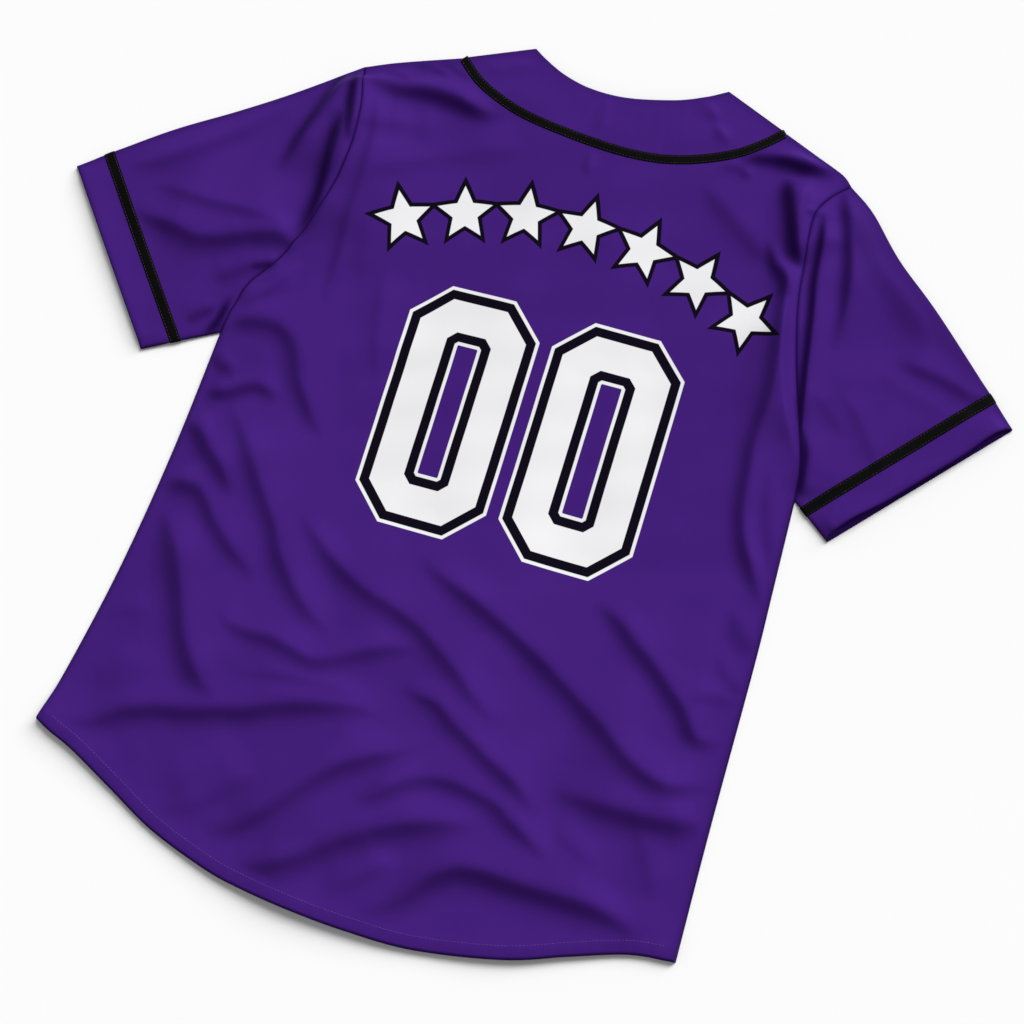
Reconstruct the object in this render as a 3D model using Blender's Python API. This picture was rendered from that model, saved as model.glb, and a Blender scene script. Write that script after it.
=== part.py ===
"""A men's medium baseball jersey that lies flat with its back up.

Metres, +Z up. The collar points to +Y. The origin is the middle of the footprint, on the
surface below. Left and right are those of someone who looks down at the back.
"""

import math
from typing import NamedTuple

import bmesh
import bpy
import numpy as np

LEFT, RIGHT = -1, 1

# Cloth and trim.
CLOTH = 0.0012
SEAM_GAP = 0.0003
TAPE = 0.0010
NECK_TAPE_WIDTH = 0.0080
SLEEVE_TAPE_WIDTH = 0.0095
CUFF_TO_TAPE = 0.0265
HIDDEN_INSET = 0.0025

# Button front, under the back.
PLACKET_HALF = 0.018
PLACKET_RAMP = 0.030
FRONT_NECK_Y = 0.262
CENTRE_TOP = (0.016, FRONT_NECK_Y)
CENTRE_HEM = (0.009, -0.390)
BUTTON_RADIUS = 0.0075
BUTTON = 0.0015
BUTTONS = 7
BUTTON_FIRST_Y = 0.240
BUTTON_PITCH = 0.088

# Layers: the underside of each one over the surface below.
PLACKET_LIFT = BUTTON + SEAM_GAP
OVERLAP_LIFT = PLACKET_LIFT + CLOTH + SEAM_GAP
BACK_LIFT = CLOTH + SEAM_GAP
RIDGE_LIFT = OVERLAP_LIFT + CLOTH + SEAM_GAP
RIDGE_HALF = 0.024
RIDGE_RAMP = 0.075
SLEEVE_TAPE_LIFT = TAPE + SEAM_GAP

# Flattened sleeves.
SLEEVE_FLAT = 0.25      # mean width between the two folded edges
EDGE_TURN = 0.002       # the cloth turns over within this width of a folded edge
TAPE_RAMP = 0.014       # the lower layer rises over this length to lie on the tape

# Cells of the cloth.
SHOULDER_CELLS = 5
NECK_CELLS = 24
ARMHOLE_CELLS = 15
SIDE_CELLS = 25
BAND_CELLS = 3
SLEEVE_ALONG = 9
SLEEVE_STEPS = 60
FRONT_SHOULDER_CELLS = 4
FRONT_SIDE_CELLS = 10


class Pair(NamedTuple):
    """A point of the pattern and its twin, as they lie."""

    half: float
    y: float
    shift: float
    rise: float

    def on(self, side):
        return np.array((self.shift + side * self.half, self.y + side * self.rise / 2))


# Half width, place along the body, sideways lay of the pair's middle, and how much
# further up the right one lies.
NECK_TIP = Pair(0.0875, 0.3887, 0.0195, 0.010)
BAND_END = Pair(0.1465, 0.3640, 0.0195, 0.014)
SHOULDER = Pair(0.2215, 0.3325, 0.0125, 0.017)
ARMPIT = Pair(0.2600, 0.0595, 0.0120, 0.007)
HEM_CORNER = Pair(0.2890, -0.3205, 0.0080, -0.021)
CUFF_TOP = Pair(0.4260, 0.1690, 0.0000, 0.014)
CUFF_BOTTOM = Pair(0.3090, 0.0295, -0.0010, 0.017)

# Edges, as (fraction of the chord, distance inward from it).
NECK_EDGE = ((0.07, 0.0080), (0.18, 0.0178), (0.33, 0.0253), (0.52, 0.0263), (0.75, 0.0188), (0.90, 0.0090))
NECK_SEAM = ((0.08, 0.0198), (0.19, 0.0347), (0.30, 0.0433), (0.42, 0.0485), (0.55, 0.0517), (0.66, 0.0500),
             (0.76, 0.0434), (0.87, 0.0300), (0.94, 0.0160))
SHOULDER_EDGE = {LEFT: ((0.64, -0.0012),), RIGHT: ((0.46, -0.0019), (0.83, -0.0033))}
ARMHOLE = {LEFT: ((0.15, 0.0202), (0.30, 0.0290), (0.45, 0.0289), (0.60, 0.0228), (0.72, 0.0142), (0.83, 0.0015)),
           RIGHT: ((0.05, 0.0160), (0.12, 0.0262), (0.25, 0.0272), (0.40, 0.0262), (0.55, 0.0205), (0.68, 0.0131),
                   (0.78, 0.0065), (0.90, 0.0003))}
SIDE_EDGE = {LEFT: ((0.25, 0.0063), (0.46, 0.0091), (0.66, 0.0090), (0.88, 0.0049)),
             RIGHT: ((0.20, -0.0011), (0.37, -0.0017), (0.72, 0.0))}
HEM_EDGE = ((0.026, -0.0064), (0.072, -0.0150), (0.147, -0.0336), (0.226, -0.0530), (0.323, -0.0673),
            (0.383, -0.0715), (0.458, -0.0734), (0.543, -0.0726), (0.646, -0.0670), (0.773, -0.0478),
            (0.858, -0.0262), (0.936, -0.0073))
OVER_ARM = {LEFT: ((0.25, 0.0016), (0.44, 0.0005), (0.68, -0.0028)),
            RIGHT: ((0.12, -0.0033), (0.31, 0.0003), (0.55, -0.0020))}


class Fold(NamedTuple):
    """A soft ridge in the cloth: the points of its crest, its half width and its height."""

    crest: tuple
    width: float
    height: float


FOLDS = (
    # lower left of the back
    Fold(((-0.232, -0.112), (-0.205, -0.145), (-0.182, -0.195), (-0.162, -0.225), (-0.140, -0.243)), 0.016, 0.0070),
    Fold(((-0.240, -0.302), (-0.195, -0.271), (-0.148, -0.258), (-0.098, -0.238), (-0.048, -0.223), (0.010, -0.213)),
         0.014, 0.0075),
    Fold(((-0.150, -0.181), (-0.110, -0.174), (-0.075, -0.181), (-0.040, -0.170), (-0.005, -0.150)), 0.014, 0.0045),
    Fold(((-0.192, -0.013), (-0.170, -0.038), (-0.150, -0.063), (-0.133, -0.088), (-0.113, -0.113), (-0.065, -0.153)),
         0.014, 0.0055),
    Fold(((-0.246, -0.022), (-0.218, -0.034), (-0.200, -0.050), (-0.183, -0.066)), 0.012, 0.0045),
    Fold(((-0.246, -0.078), (-0.217, -0.076), (-0.188, -0.094), (-0.163, -0.112), (-0.138, -0.132)), 0.014, 0.0050),
    Fold(((-0.080, -0.345), (-0.050, -0.312), (-0.030, -0.280), (0.000, -0.258), (0.045, -0.230)), 0.014, 0.0055),
    Fold(((-0.060, -0.372), (-0.012, -0.338), (0.028, -0.308), (0.060, -0.292), (0.105, -0.280)), 0.013, 0.0055),
    # middle and lower right of the back
    Fold(((-0.114, -0.072), (-0.055, -0.107), (0.005, -0.136), (0.066, -0.164), (0.097, -0.187)), 0.012, 0.0055),
    Fold(((-0.010, -0.076), (0.025, -0.089), (0.064, -0.101), (0.104, -0.116), (0.145, -0.136), (0.186, -0.161),
          (0.221, -0.184), (0.262, -0.189)), 0.013, 0.0065),
    Fold(((0.150, -0.064), (0.186, -0.081), (0.222, -0.101), (0.249, -0.120), (0.276, -0.142)), 0.014, 0.0060),
    Fold(((0.020, -0.184), (0.055, -0.189), (0.080, -0.204), (0.110, -0.221), (0.150, -0.241)), 0.012, 0.0050),
    Fold(((0.010, -0.281), (0.050, -0.254), (0.085, -0.242), (0.120, -0.245), (0.170, -0.273)), 0.012, 0.0045),
    Fold(((0.130, -0.220), (0.180, -0.224), (0.230, -0.226), (0.280, -0.214)), 0.014, 0.0065),
    Fold(((0.055, -0.360), (0.085, -0.326), (0.112, -0.308), (0.150, -0.301), (0.200, -0.301), (0.250, -0.310)),
         0.014, 0.0080),
    Fold(((0.226, 0.075), (0.243, 0.038), (0.254, 0.010), (0.270, -0.024)), 0.012, 0.0060),
    # shoulders and armholes
    Fold(((0.188, 0.318), (0.199, 0.290), (0.214, 0.255), (0.228, 0.200), (0.246, 0.140)), 0.011, 0.0055),
    Fold(((-0.178, 0.320), (-0.130, 0.318), (-0.080, 0.305)), 0.014, 0.0035),
    Fold(((-0.215, 0.075), (-0.190, 0.072), (-0.168, 0.050), (-0.140, 0.010)), 0.014, 0.0045),
    # sleeves
    Fold(((-0.222, 0.300), (-0.226, 0.262), (-0.232, 0.215)), 0.014, 0.0060),
    Fold(((-0.350, 0.172), (-0.300, 0.170), (-0.250, 0.175), (-0.205, 0.178)), 0.014, 0.0045),
    Fold(((-0.355, 0.150), (-0.303, 0.146), (-0.255, 0.149), (-0.215, 0.153)), 0.010, 0.0050),
    Fold(((0.235, 0.300), (0.246, 0.240), (0.256, 0.180)), 0.014, 0.0040),
    Fold(((0.356, 0.056), (0.338, 0.072), (0.296, 0.108)), 0.022, 0.0055),
    Fold(((0.424, 0.138), (0.405, 0.154), (0.370, 0.186)), 0.020, 0.0045),
)


def smooth_step(value):
    value = np.clip(value, 0.0, 1.0)
    return value * value * (3.0 - 2.0 * value)


def lengths_along(points):
    """How far each point of a polyline lies along it."""
    return np.concatenate(([0.0], np.cumsum(np.linalg.norm(np.diff(points, axis=0), axis=1))))


def places_along(points, distances):
    """Points at distances along a polyline."""
    return np.stack([np.interp(distances, lengths_along(points), column) for column in points.T], axis=1)


def evenly(points, cells):
    """Points at even steps along a polyline, ends included."""
    points = np.asarray(points, float)
    return places_along(points, np.linspace(0.0, lengths_along(points)[-1], cells + 1))


def smooth_curve(points, steps=12):
    """A Catmull-Rom curve through the points."""
    points = np.asarray(points, float)
    padded = np.vstack((2 * points[0] - points[1], points, 2 * points[-1] - points[-2]))
    curve = []
    for before, start, end, after in zip(padded, padded[1:], padded[2:], padded[3:]):
        for t in np.arange(steps) / steps:
            curve.append(0.5 * (2 * start + (end - before) * t + (2 * before - 5 * start + 4 * end - after) * t**2
                                + (3 * start - before - 3 * end + after) * t**3))
    return np.array(curve + [points[-1]])


def edge(start, end, rows, inward):
    """A smooth edge from start to end. inward is 1 where the cloth lies to the left of that way, or -1."""
    chord = end - start
    across = inward * np.array((-chord[1], chord[0])) / np.linalg.norm(chord)
    points = [start, *(start + fraction * chord + depth * across for fraction, depth in rows), end]
    return smooth_curve(points)


def nearest_on_path(points, path):
    """The distance from each point to a polyline, and how far along it the nearest place is, from 0 to 1."""
    path = np.asarray(path, float)
    lengths = np.linalg.norm(np.diff(path, axis=0), axis=1)
    starts = np.concatenate(([0.0], np.cumsum(lengths)))
    best = np.full(len(points), np.inf)
    fraction = np.zeros(len(points))
    for start, end, length, before in zip(path, path[1:], lengths, starts):
        t = np.clip(((points - start) @ (end - start)) / length**2, 0.0, 1.0)
        distance = np.linalg.norm(points - (start + t[:, None] * (end - start)), axis=1)
        closer = distance < best
        best[closer] = distance[closer]
        fraction[closer] = (before + t[closer] * length) / starts[-1]
    return best, fraction


def fold_height(points):
    """How much the folds raise the cloth at each (x, y). A fold dies away to its ends."""
    height = np.zeros(len(points))
    for fold in FOLDS:
        distance, fraction = nearest_on_path(points, smooth_curve(fold.crest, 4))
        height += fold.height * np.exp(-((distance / fold.width) ** 2)) * (1.0 - np.abs(2 * fraction - 1.0) ** 3)
    return height


def centre_x(y):
    """The centre front's place at a height y up the body."""
    (top_x, top_y), (hem_x, hem_y) = CENTRE_TOP, CENTRE_HEM
    return hem_x + (top_x - hem_x) * (y - hem_y) / (top_y - hem_y)


def back_underside(points):
    """The height of the upper layer's underside: it clears the fronts and their placket, and rises in folds."""
    off_centre = np.abs(points[:, 0] - centre_x(points[:, 1]))
    over_placket = 1.0 - smooth_step((off_centre - RIDGE_HALF) / RIDGE_RAMP)
    flat_by_tape = smooth_step((nearest_on_path(points, neck_seam())[0] - 0.012) / 0.015)
    return BACK_LIFT + (RIDGE_LIFT - BACK_LIFT) * over_placket + fold_height(points) * flat_by_tape


# Edges of the pattern ----------------------------------------------------------------------------

def neck_edge():
    return edge(NECK_TIP.on(LEFT), NECK_TIP.on(RIGHT), NECK_EDGE, -1)


def neck_seam():
    return edge(BAND_END.on(LEFT), BAND_END.on(RIGHT), NECK_SEAM, -1)


def shoulder_edge(side):
    return edge(SHOULDER.on(side), BAND_END.on(side), tuple((1 - f, d) for f, d in SHOULDER_EDGE[side][::-1]), side)


def armhole(side):
    return edge(SHOULDER.on(side), ARMPIT.on(side), ARMHOLE[side], -side)


def side_edge(side):
    return edge(ARMPIT.on(side), HEM_CORNER.on(side), SIDE_EDGE[side], -side)


def hem_edge():
    return edge(HEM_CORNER.on(LEFT), HEM_CORNER.on(RIGHT), HEM_EDGE, 1)


# Cloth -------------------------------------------------------------------------------------------

def coons(top, bottom, left, right, across, down):
    """A grid of (x, y) inside four edges. across and down give each column's and row's share."""
    u, v = across[None, :, None], down[:, None, None]
    ruled = (1 - v) * top[None] + v * bottom[None] + (1 - u) * left[:, None] + u * right[:, None]
    corners = (1 - v) * ((1 - u) * top[0] + u * top[-1]) + v * ((1 - u) * bottom[0] + u * bottom[-1])
    return ruled - corners


def material(name, color, roughness):
    made = bpy.data.materials.new(name)
    made.use_nodes = True
    shader = made.node_tree.nodes["Principled BSDF"]
    shader.inputs["Base Color"].default_value = (*color, 1.0)
    shader.inputs["Roughness"].default_value = roughness
    shader.inputs["Metallic"].default_value = 0.0
    return made


def add_object(name, bm, finish, collection):
    bmesh.ops.recalc_face_normals(bm, faces=bm.faces)
    mesh = bpy.data.meshes.new(name)
    bm.to_mesh(mesh)
    bm.free()
    mesh.materials.append(finish)
    mesh.shade_smooth()
    mesh.set_sharp_from_angle(angle=math.radians(40))
    made = bpy.data.objects.new(name, mesh)
    collection.objects.link(made)
    return made


def panel(name, plan, underside, wall, finish, collection):
    """A wall of cloth over a grid of (x, y), extruded up from the heights of its underside."""
    rows, columns = plan.shape[:2]
    bm = bmesh.new()
    bmesh.ops.create_grid(bm, x_segments=columns - 1, y_segments=rows - 1, size=0.5)
    grid = sorted(bm.verts, key=lambda vert: (-round(vert.co.y, 5), vert.co.x))
    for vert, (x, y), z in zip(grid, plan.reshape(-1, 2), underside.reshape(-1)):
        vert.co = (x, y, z)
    raised = bmesh.ops.extrude_face_region(bm, geom=bm.faces[:])["geom"]
    bmesh.ops.translate(bm, verts=[e for e in raised if isinstance(e, bmesh.types.BMVert)], vec=(0, 0, wall))
    return add_object(name, bm, finish, collection)


def looped(name, loops, finish, collection):
    """A wall through closed loops, the last of which meets the first again."""
    bm = bmesh.new()
    rings = [[bm.verts.new(point) for point in loop] for loop in loops]
    count = len(rings[0])
    for ring, following in zip(rings, rings[1:] + rings[:1]):
        for j in range(count):
            k = (j + 1) % count
            bm.faces.new((ring[j], ring[k], following[k], following[j]))
    return add_object(name, bm, finish, collection)


def back_panel(finish, collection):
    top = np.vstack((evenly(shoulder_edge(LEFT), SHOULDER_CELLS)[:-1],
                     evenly(neck_seam(), NECK_CELLS),
                     evenly(shoulder_edge(RIGHT)[::-1], SHOULDER_CELLS)[1:]))
    bottom = evenly(hem_edge(), len(top) - 1)
    sides = [np.vstack((evenly(armhole(side), ARMHOLE_CELLS), evenly(side_edge(side), SIDE_CELLS)[1:]))
             for side in (LEFT, RIGHT)]
    across, down = np.linspace(0, 1, len(top)), np.linspace(0, 1, len(sides[0]))
    plan = coons(top, bottom, *sides, across, down)
    underside = back_underside(plan.reshape(-1, 2))
    return panel("back_panel", plan, underside, CLOTH, finish, collection)


def neck_band(finish, collection):
    """The crescent between the neck edge and the tape's seam."""
    top = evenly(neck_edge(), NECK_CELLS)
    bottom = evenly(neck_seam(), NECK_CELLS) + np.array((0.0, SEAM_GAP / 0.75))
    sides = [evenly((top[end], bottom[end]), BAND_CELLS) for end in (0, -1)]
    plan = coons(top, bottom, *sides, np.linspace(0, 1, NECK_CELLS + 1), np.linspace(0, 1, BAND_CELLS + 1))
    return panel("neck_band", plan, back_underside(plan.reshape(-1, 2)), CLOTH, finish, collection)


def neck_tape(finish, collection):
    """Flat tape over the seam between the back and the neck band, made from the cloth's own heights."""
    seam = evenly(neck_seam(), 2 * NECK_CELLS)
    way = np.gradient(seam, axis=0)
    across = np.stack((-way[:, 1], way[:, 0]), axis=1) / np.linalg.norm(way, axis=1)[:, None]
    plan = np.stack([seam + across * offset for offset in (NECK_TAPE_WIDTH / 2, -NECK_TAPE_WIDTH / 2)])
    underside = back_underside(plan.reshape(-1, 2)) + CLOTH + SEAM_GAP
    return panel("neck_tape", plan, underside, TAPE, finish, collection)


def front_top(side):
    """The front's shoulder and neckline, then its three placket columns, from the armhole inward."""
    shoulder = SHOULDER.on(side) + np.array((-side, -1)) * HIDDEN_INSET
    tip = NECK_TIP.on(side) - np.array((0.0, 2 * HIDDEN_INSET))
    placket = np.array(CENTRE_TOP) + np.array((side * PLACKET_HALF, 0.0))
    free_corner = placket - np.array((2 * side * PLACKET_HALF, 0.0))
    bend = (tip + placket) / 2 + np.array((-side, -1.5)) * 0.010
    neckline = smooth_curve((tip, bend, placket))
    ramp_x = placket[0] + side * PLACKET_RAMP
    ramp_foot = np.array((ramp_x, np.interp(side * ramp_x, side * neckline[::-1, 0], neckline[::-1, 1])))
    points = evenly((shoulder, tip), FRONT_SHOULDER_CELLS)
    return np.vstack((points, evenly(neckline, 3)[1], ramp_foot, placket, free_corner))


def front_hem(side, count):
    """The front's hem under the back's, with its last three columns along the placket."""
    corner = HEM_CORNER.on(side) + np.array((-side, 0.7)) * HIDDEN_INSET
    centre = centre_x(CENTRE_HEM[1])
    placket = centre + side * PLACKET_HALF
    x = np.append(np.linspace(corner[0], placket + side * PLACKET_RAMP, count - 2),
                  (placket, placket - 2 * side * PLACKET_HALF))
    hem = hem_edge()
    points = np.stack((x, np.interp(x, hem[:, 0], hem[:, 1]) + HIDDEN_INSET), axis=1)
    points[0] = corner
    return points


def front_panel(side, finish, collection):
    """Half of the button front. The left one is outermost, so its placket lies lowest."""
    top = front_top(side)
    bottom = front_hem(side, len(top))
    outer = np.vstack((evenly(armhole(side), ARMHOLE_CELLS), evenly(side_edge(side), FRONT_SIDE_CELLS)[1:]))
    outer[ARMHOLE_CELLS + 1:, 0] -= side * HIDDEN_INSET
    outer[0], outer[-1] = top[0], bottom[0]
    inner = evenly((top[-1], bottom[-1]), len(outer) - 1)
    # The armhole's bend dies away early, so that the placket stays straight.
    across, down = 1 - np.linspace(1, 0, len(top)) ** 3, np.linspace(0, 1, len(outer))
    plan = coons(top, bottom, outer, inner, across, down)
    underside = np.zeros(plan.shape[:2])
    underside[:, -2:] = {LEFT: PLACKET_LIFT, RIGHT: OVERLAP_LIFT}[side]
    return panel({LEFT: "front_left", RIGHT: "front_right"}[side], plan, underside, CLOTH, finish, collection)


def buttons(finish, collection):
    for number in range(BUTTONS):
        y = BUTTON_FIRST_Y - number * BUTTON_PITCH
        bm = bmesh.new()
        bmesh.ops.create_cone(bm, cap_ends=True, segments=20, depth=BUTTON,
                              radius1=BUTTON_RADIUS, radius2=BUTTON_RADIUS)
        button = add_object(f"button_{number + 1}", bm, finish, collection)
        button.location = (centre_x(y), y, BUTTON / 2)


# Sleeves -----------------------------------------------------------------------------------------

class Sleeve:
    """A short sleeve: a tube pressed flat, from the armhole to the open cuff.

    Its columns run on from the body's own armhole cells. A row is given by its distance from the
    armhole along each column, so the tape lies along the cuff.
    """

    def __init__(self, side):
        self.name = {LEFT: "left", RIGHT: "right"}[side]
        seam = evenly(armhole(side), ARMHOLE_CELLS)
        cuff = evenly((CUFF_TOP.on(side), CUFF_BOTTOM.on(side)), ARMHOLE_CELLS)
        over_arm = edge(SHOULDER.on(side), CUFF_TOP.on(side), OVER_ARM[side], -side)
        under_arm = (ARMPIT.on(side), CUFF_BOTTOM.on(side))
        sides = [evenly(line, SLEEVE_STEPS) for line in (over_arm, under_arm)]
        down = np.linspace(0, 1, SLEEVE_STEPS + 1)
        way = np.gradient(seam, axis=0)
        across = np.stack((-way[:, 1], way[:, 0]), axis=1) / np.linalg.norm(way, axis=1)[:, None]
        grid = coons(seam, cuff, *sides, np.linspace(0, 1, ARMHOLE_CELLS + 1), down)
        grid += side * across * SEAM_GAP * (1.0 - down)[:, None, None] ** 8
        self.columns = grid.transpose(1, 0, 2)
        self.lengths = np.array([lengths_along(column)[-1] for column in self.columns])

    def tape_rows(self):
        """The tape's two edges."""
        return np.stack((self.lengths - CUFF_TO_TAPE - SLEEVE_TAPE_WIDTH, self.lengths - CUFF_TO_TAPE))

    def cloth_rows(self):
        """The cloth's rows: even ones, the foot of the rise, the tape's edges, and the cuff."""
        start, end = self.tape_rows()
        foot = np.maximum(start - TAPE_RAMP, start / 2)
        return np.vstack((np.linspace(0, 1, SLEEVE_ALONG)[:, None] * foot, start, end, end + TAPE_RAMP, self.lengths))

    def plan(self, across, rows):
        """A grid of (x, y), with a place for each share of the way across in each row."""
        grid = np.stack([places_along(*pair) for pair in zip(self.columns, rows.T)], axis=1)
        column_at = across * ARMHOLE_CELLS
        low = np.clip(column_at.astype(int), 0, ARMHOLE_CELLS - 1)
        part = (column_at - low)[None, :, None]
        return grid[:, low] * (1 - part) + grid[:, low + 1] * part

    def loops(self, rows, floor, out):
        """Closed loops round the flat tube, at a distance out from the middle of its wall.

        The floor is how far the lower layer stands off the surface in each row.
        """
        inset = (CLOTH / 2 - out) / SLEEVE_FLAT
        turn = max(inset, 0.0) + EDGE_TURN / SLEEVE_FLAT
        inside = np.arange(1, ARMHOLE_CELLS) / ARMHOLE_CELLS
        plan = self.plan(np.array((inset, turn, *inside, 1 - turn, 1 - inset)), rows)
        floor = np.asarray(floor)[:, None] + np.zeros(plan.shape[:2])
        upper_z = floor + back_underside(plan.reshape(-1, 2)).reshape(floor.shape) + CLOTH / 2 + out
        upper_z[:, (0, -1)] = floor[:, (0, -1)] + (BACK_LIFT + CLOTH) / 2
        upper = np.dstack((plan, upper_z))
        lower = np.dstack((plan, floor + CLOTH / 2 - out))
        return list(np.concatenate((upper, lower[:, -2:0:-1]), axis=1))

    def tube(self, name, rows, floor, out, wall, finish, collection):
        """A wall between the loops at a distance out and those one wall further in."""
        outer, inner = self.loops(rows, floor, out), self.loops(rows, floor, out - wall)
        return looped(name, outer + inner[::-1], finish, collection)

    def build(self, finish, collection):
        floor = (*np.zeros(SLEEVE_ALONG), SLEEVE_TAPE_LIFT, SLEEVE_TAPE_LIFT, 0.0, 0.0)
        self.tube(f"sleeve_{self.name}", self.cloth_rows(), floor, CLOTH / 2, CLOTH, finish, collection)

    def build_tape(self, finish, collection):
        floor = (SLEEVE_TAPE_LIFT, SLEEVE_TAPE_LIFT)
        out = CLOTH / 2 + SEAM_GAP + TAPE
        self.tube(f"sleeve_tape_{self.name}", self.tape_rows(), floor, out, TAPE, finish, collection)


def main():
    for thing in list(bpy.data.objects):
        bpy.data.objects.remove(thing)
    jersey = bpy.data.collections.new("baseball_jersey")
    bpy.context.scene.collection.children.link(jersey)

    purple = material("purple_knit", (0.052, 0.012, 0.170), 0.45)
    band_purple = material("purple_neck_band", (0.055, 0.013, 0.180), 0.45)
    black = material("black_tape", (0.006, 0.005, 0.006), 0.60)
    shell = material("dark_button", (0.020, 0.008, 0.050), 0.30)

    back_panel(purple, jersey)
    neck_band(band_purple, jersey)
    neck_tape(black, jersey)
    for side in (LEFT, RIGHT):
        front_panel(side, purple, jersey)
        sleeve = Sleeve(side)
        sleeve.build(purple, jersey)
        sleeve.build_tape(black, jersey)
    buttons(shell, jersey)


if __name__ == "__main__":
    main()
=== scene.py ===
"""The looks of a men's medium baseball jersey that lies flat with its back up.

Metres, +Z up. The collar points to +Y. Left and right are those of someone who looks down at the
back. The pattern is the one that the jersey's solids are cut from, on finer grids.
"""

from __future__ import annotations

import logging
import math
import sys
from dataclasses import dataclass, field
from enum import Enum
from functools import partial, partialmethod
from typing import Any, Callable, NamedTuple, Sequence

import bpy
import numpy as np
from mathutils import Matrix, Vector

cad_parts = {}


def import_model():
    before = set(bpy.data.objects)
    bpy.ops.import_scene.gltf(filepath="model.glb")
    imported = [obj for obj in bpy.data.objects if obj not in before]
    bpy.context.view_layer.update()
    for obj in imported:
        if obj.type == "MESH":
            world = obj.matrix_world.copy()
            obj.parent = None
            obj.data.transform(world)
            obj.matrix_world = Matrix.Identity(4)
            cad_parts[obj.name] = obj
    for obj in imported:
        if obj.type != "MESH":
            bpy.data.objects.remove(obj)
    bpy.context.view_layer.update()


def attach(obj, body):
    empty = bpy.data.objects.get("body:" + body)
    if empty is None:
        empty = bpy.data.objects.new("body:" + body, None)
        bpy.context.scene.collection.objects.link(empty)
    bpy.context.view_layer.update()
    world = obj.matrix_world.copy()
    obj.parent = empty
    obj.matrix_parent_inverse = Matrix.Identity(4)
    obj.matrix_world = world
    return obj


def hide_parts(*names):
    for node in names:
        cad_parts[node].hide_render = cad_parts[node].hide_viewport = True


LOG = logging.getLogger("baseball_jersey")
BODY = "root"
MM = 0.001
Rows = tuple[tuple[float, float], ...]
Array = np.ndarray
Object = bpy.types.Object
Material = bpy.types.Material
Socket = bpy.types.NodeSocket

# Cloth and trim, as the solids have them.
CLOTH = 0.0012
SEAM_GAP = 0.0003
TAPE = 0.0010
NECK_TAPE_WIDTH = 0.0080
SLEEVE_TAPE_WIDTH = 0.0095
CUFF_TO_TAPE = 0.0265
HIDDEN_INSET = 0.0025
BACK_LIFT = CLOTH + SEAM_GAP
BUTTON_RADIUS = 0.0075
BUTTON = 0.0015
BUTTONS = 7
BUTTON_FIRST_Y = 0.240
BUTTON_PITCH = 0.088
PLACKET_HALF = 0.018
PLACKET_RAMP = 0.030
PLACKET_LIFT = BUTTON + SEAM_GAP
OVERLAP_LIFT = PLACKET_LIFT + CLOTH + SEAM_GAP
RIDGE_LIFT = OVERLAP_LIFT + CLOTH + SEAM_GAP
RIDGE_HALF = 0.024
RIDGE_RAMP = 0.075
TAPE_RAMP = 0.014

# The two faces of cloth where an edge is folded under: the height at which the fold's outside and
# its inside end, how far in its inside begins, and the least thickness.
FOLD_OUTSIDE = 0.0008
FOLD_INSIDE = 0.0001
FOLD_CORE = 0.0007
THINNEST = 0.0004

# How far the middle of a rim stands out, on cloth and on tape.
CLOTH_RIM = 0.0004
TAPE_RIM = 0.0002

# How much thinner a tape is at its edges, and how late on the way out it thins, as a power.
TAPE_THINNED = 0.7
TAPE_THINS_LATE = 4

# The painted shade of a turned edge, as (most, width) for a sharp line and for a softer band
# beside it, and how wide a seam's painted shadow line is.
TURN_SHADE_LINE = (0.95, 0.0015)
TURN_SHADE = (0.45, 0.0036)
SEAM_SHADE_WIDTH = 0.0009


class Side(Enum):
    """A side of the jersey, with its sign along X."""

    LEFT = -1
    RIGHT = 1

    @property
    def word(self) -> str:
        """The side's name in a node."""
        return self.name.lower()


class Slot(Enum):
    """The record's material slots."""

    KNIT = "purple_knit"
    TAPE = "black_tape"
    BUTTON = "dark_button"


# Plane geometry ----------------------------------------------------------------------------------

def bell(distance: Array, width: float) -> Array:
    """1 at no distance, falling smoothly on both sides to 0.37 at a width."""
    return np.exp(-((distance / width) ** 2))


def painted_turn_shade(distance: Array) -> Array:
    """How much painted shade cloth at a distance from a folded edge gets from its turn."""
    return np.maximum(*(most * bell(distance, width) for most, width in (TURN_SHADE_LINE, TURN_SHADE)))


def smooth_step(value: Array | float) -> Array:
    """0 below 0, 1 above 1 and a smooth rise between."""
    value = np.clip(value, 0.0, 1.0)
    return value * value * (3.0 - 2.0 * value)


def quarter_round(distance: Array, radius: float) -> Array:
    """How high a rounded edge stands, from 0 at the edge to 1 at a radius inside it."""
    return np.sqrt(1.0 - (1.0 - np.clip(distance / radius, 0.0, 1.0)) ** 2)


def at_shares(points: Array, shares: Array) -> Array:
    """Points at shares of the length of a polyline."""
    along = np.concatenate(([0.0], np.cumsum(np.linalg.norm(np.diff(points, axis=0), axis=1))))
    return np.stack([np.interp(shares * along[-1], along, column) for column in points.T], axis=1)


def smooth_curve(points: Sequence, steps: int = 12) -> Array:
    """A Catmull-Rom curve through the points.

    Args:
        points: The points that it passes.
        steps: The number of short lines from one point to the next.

    Returns:
        The curve's points, ends included.
    """
    points = np.asarray(points, float)
    padded = np.vstack((2 * points[0] - points[1], points, 2 * points[-1] - points[-2]))
    t = (np.arange(steps) / steps)[:, None]
    curve = [0.5 * (2 * start + (end - before) * t + (2 * before - 5 * start + 4 * end - after) * t**2
                    + (3 * start - before - 3 * end + after) * t**3)
             for before, start, end, after in zip(padded, padded[1:], padded[2:], padded[3:])]
    return np.vstack((*curve, points[-1]))


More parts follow.
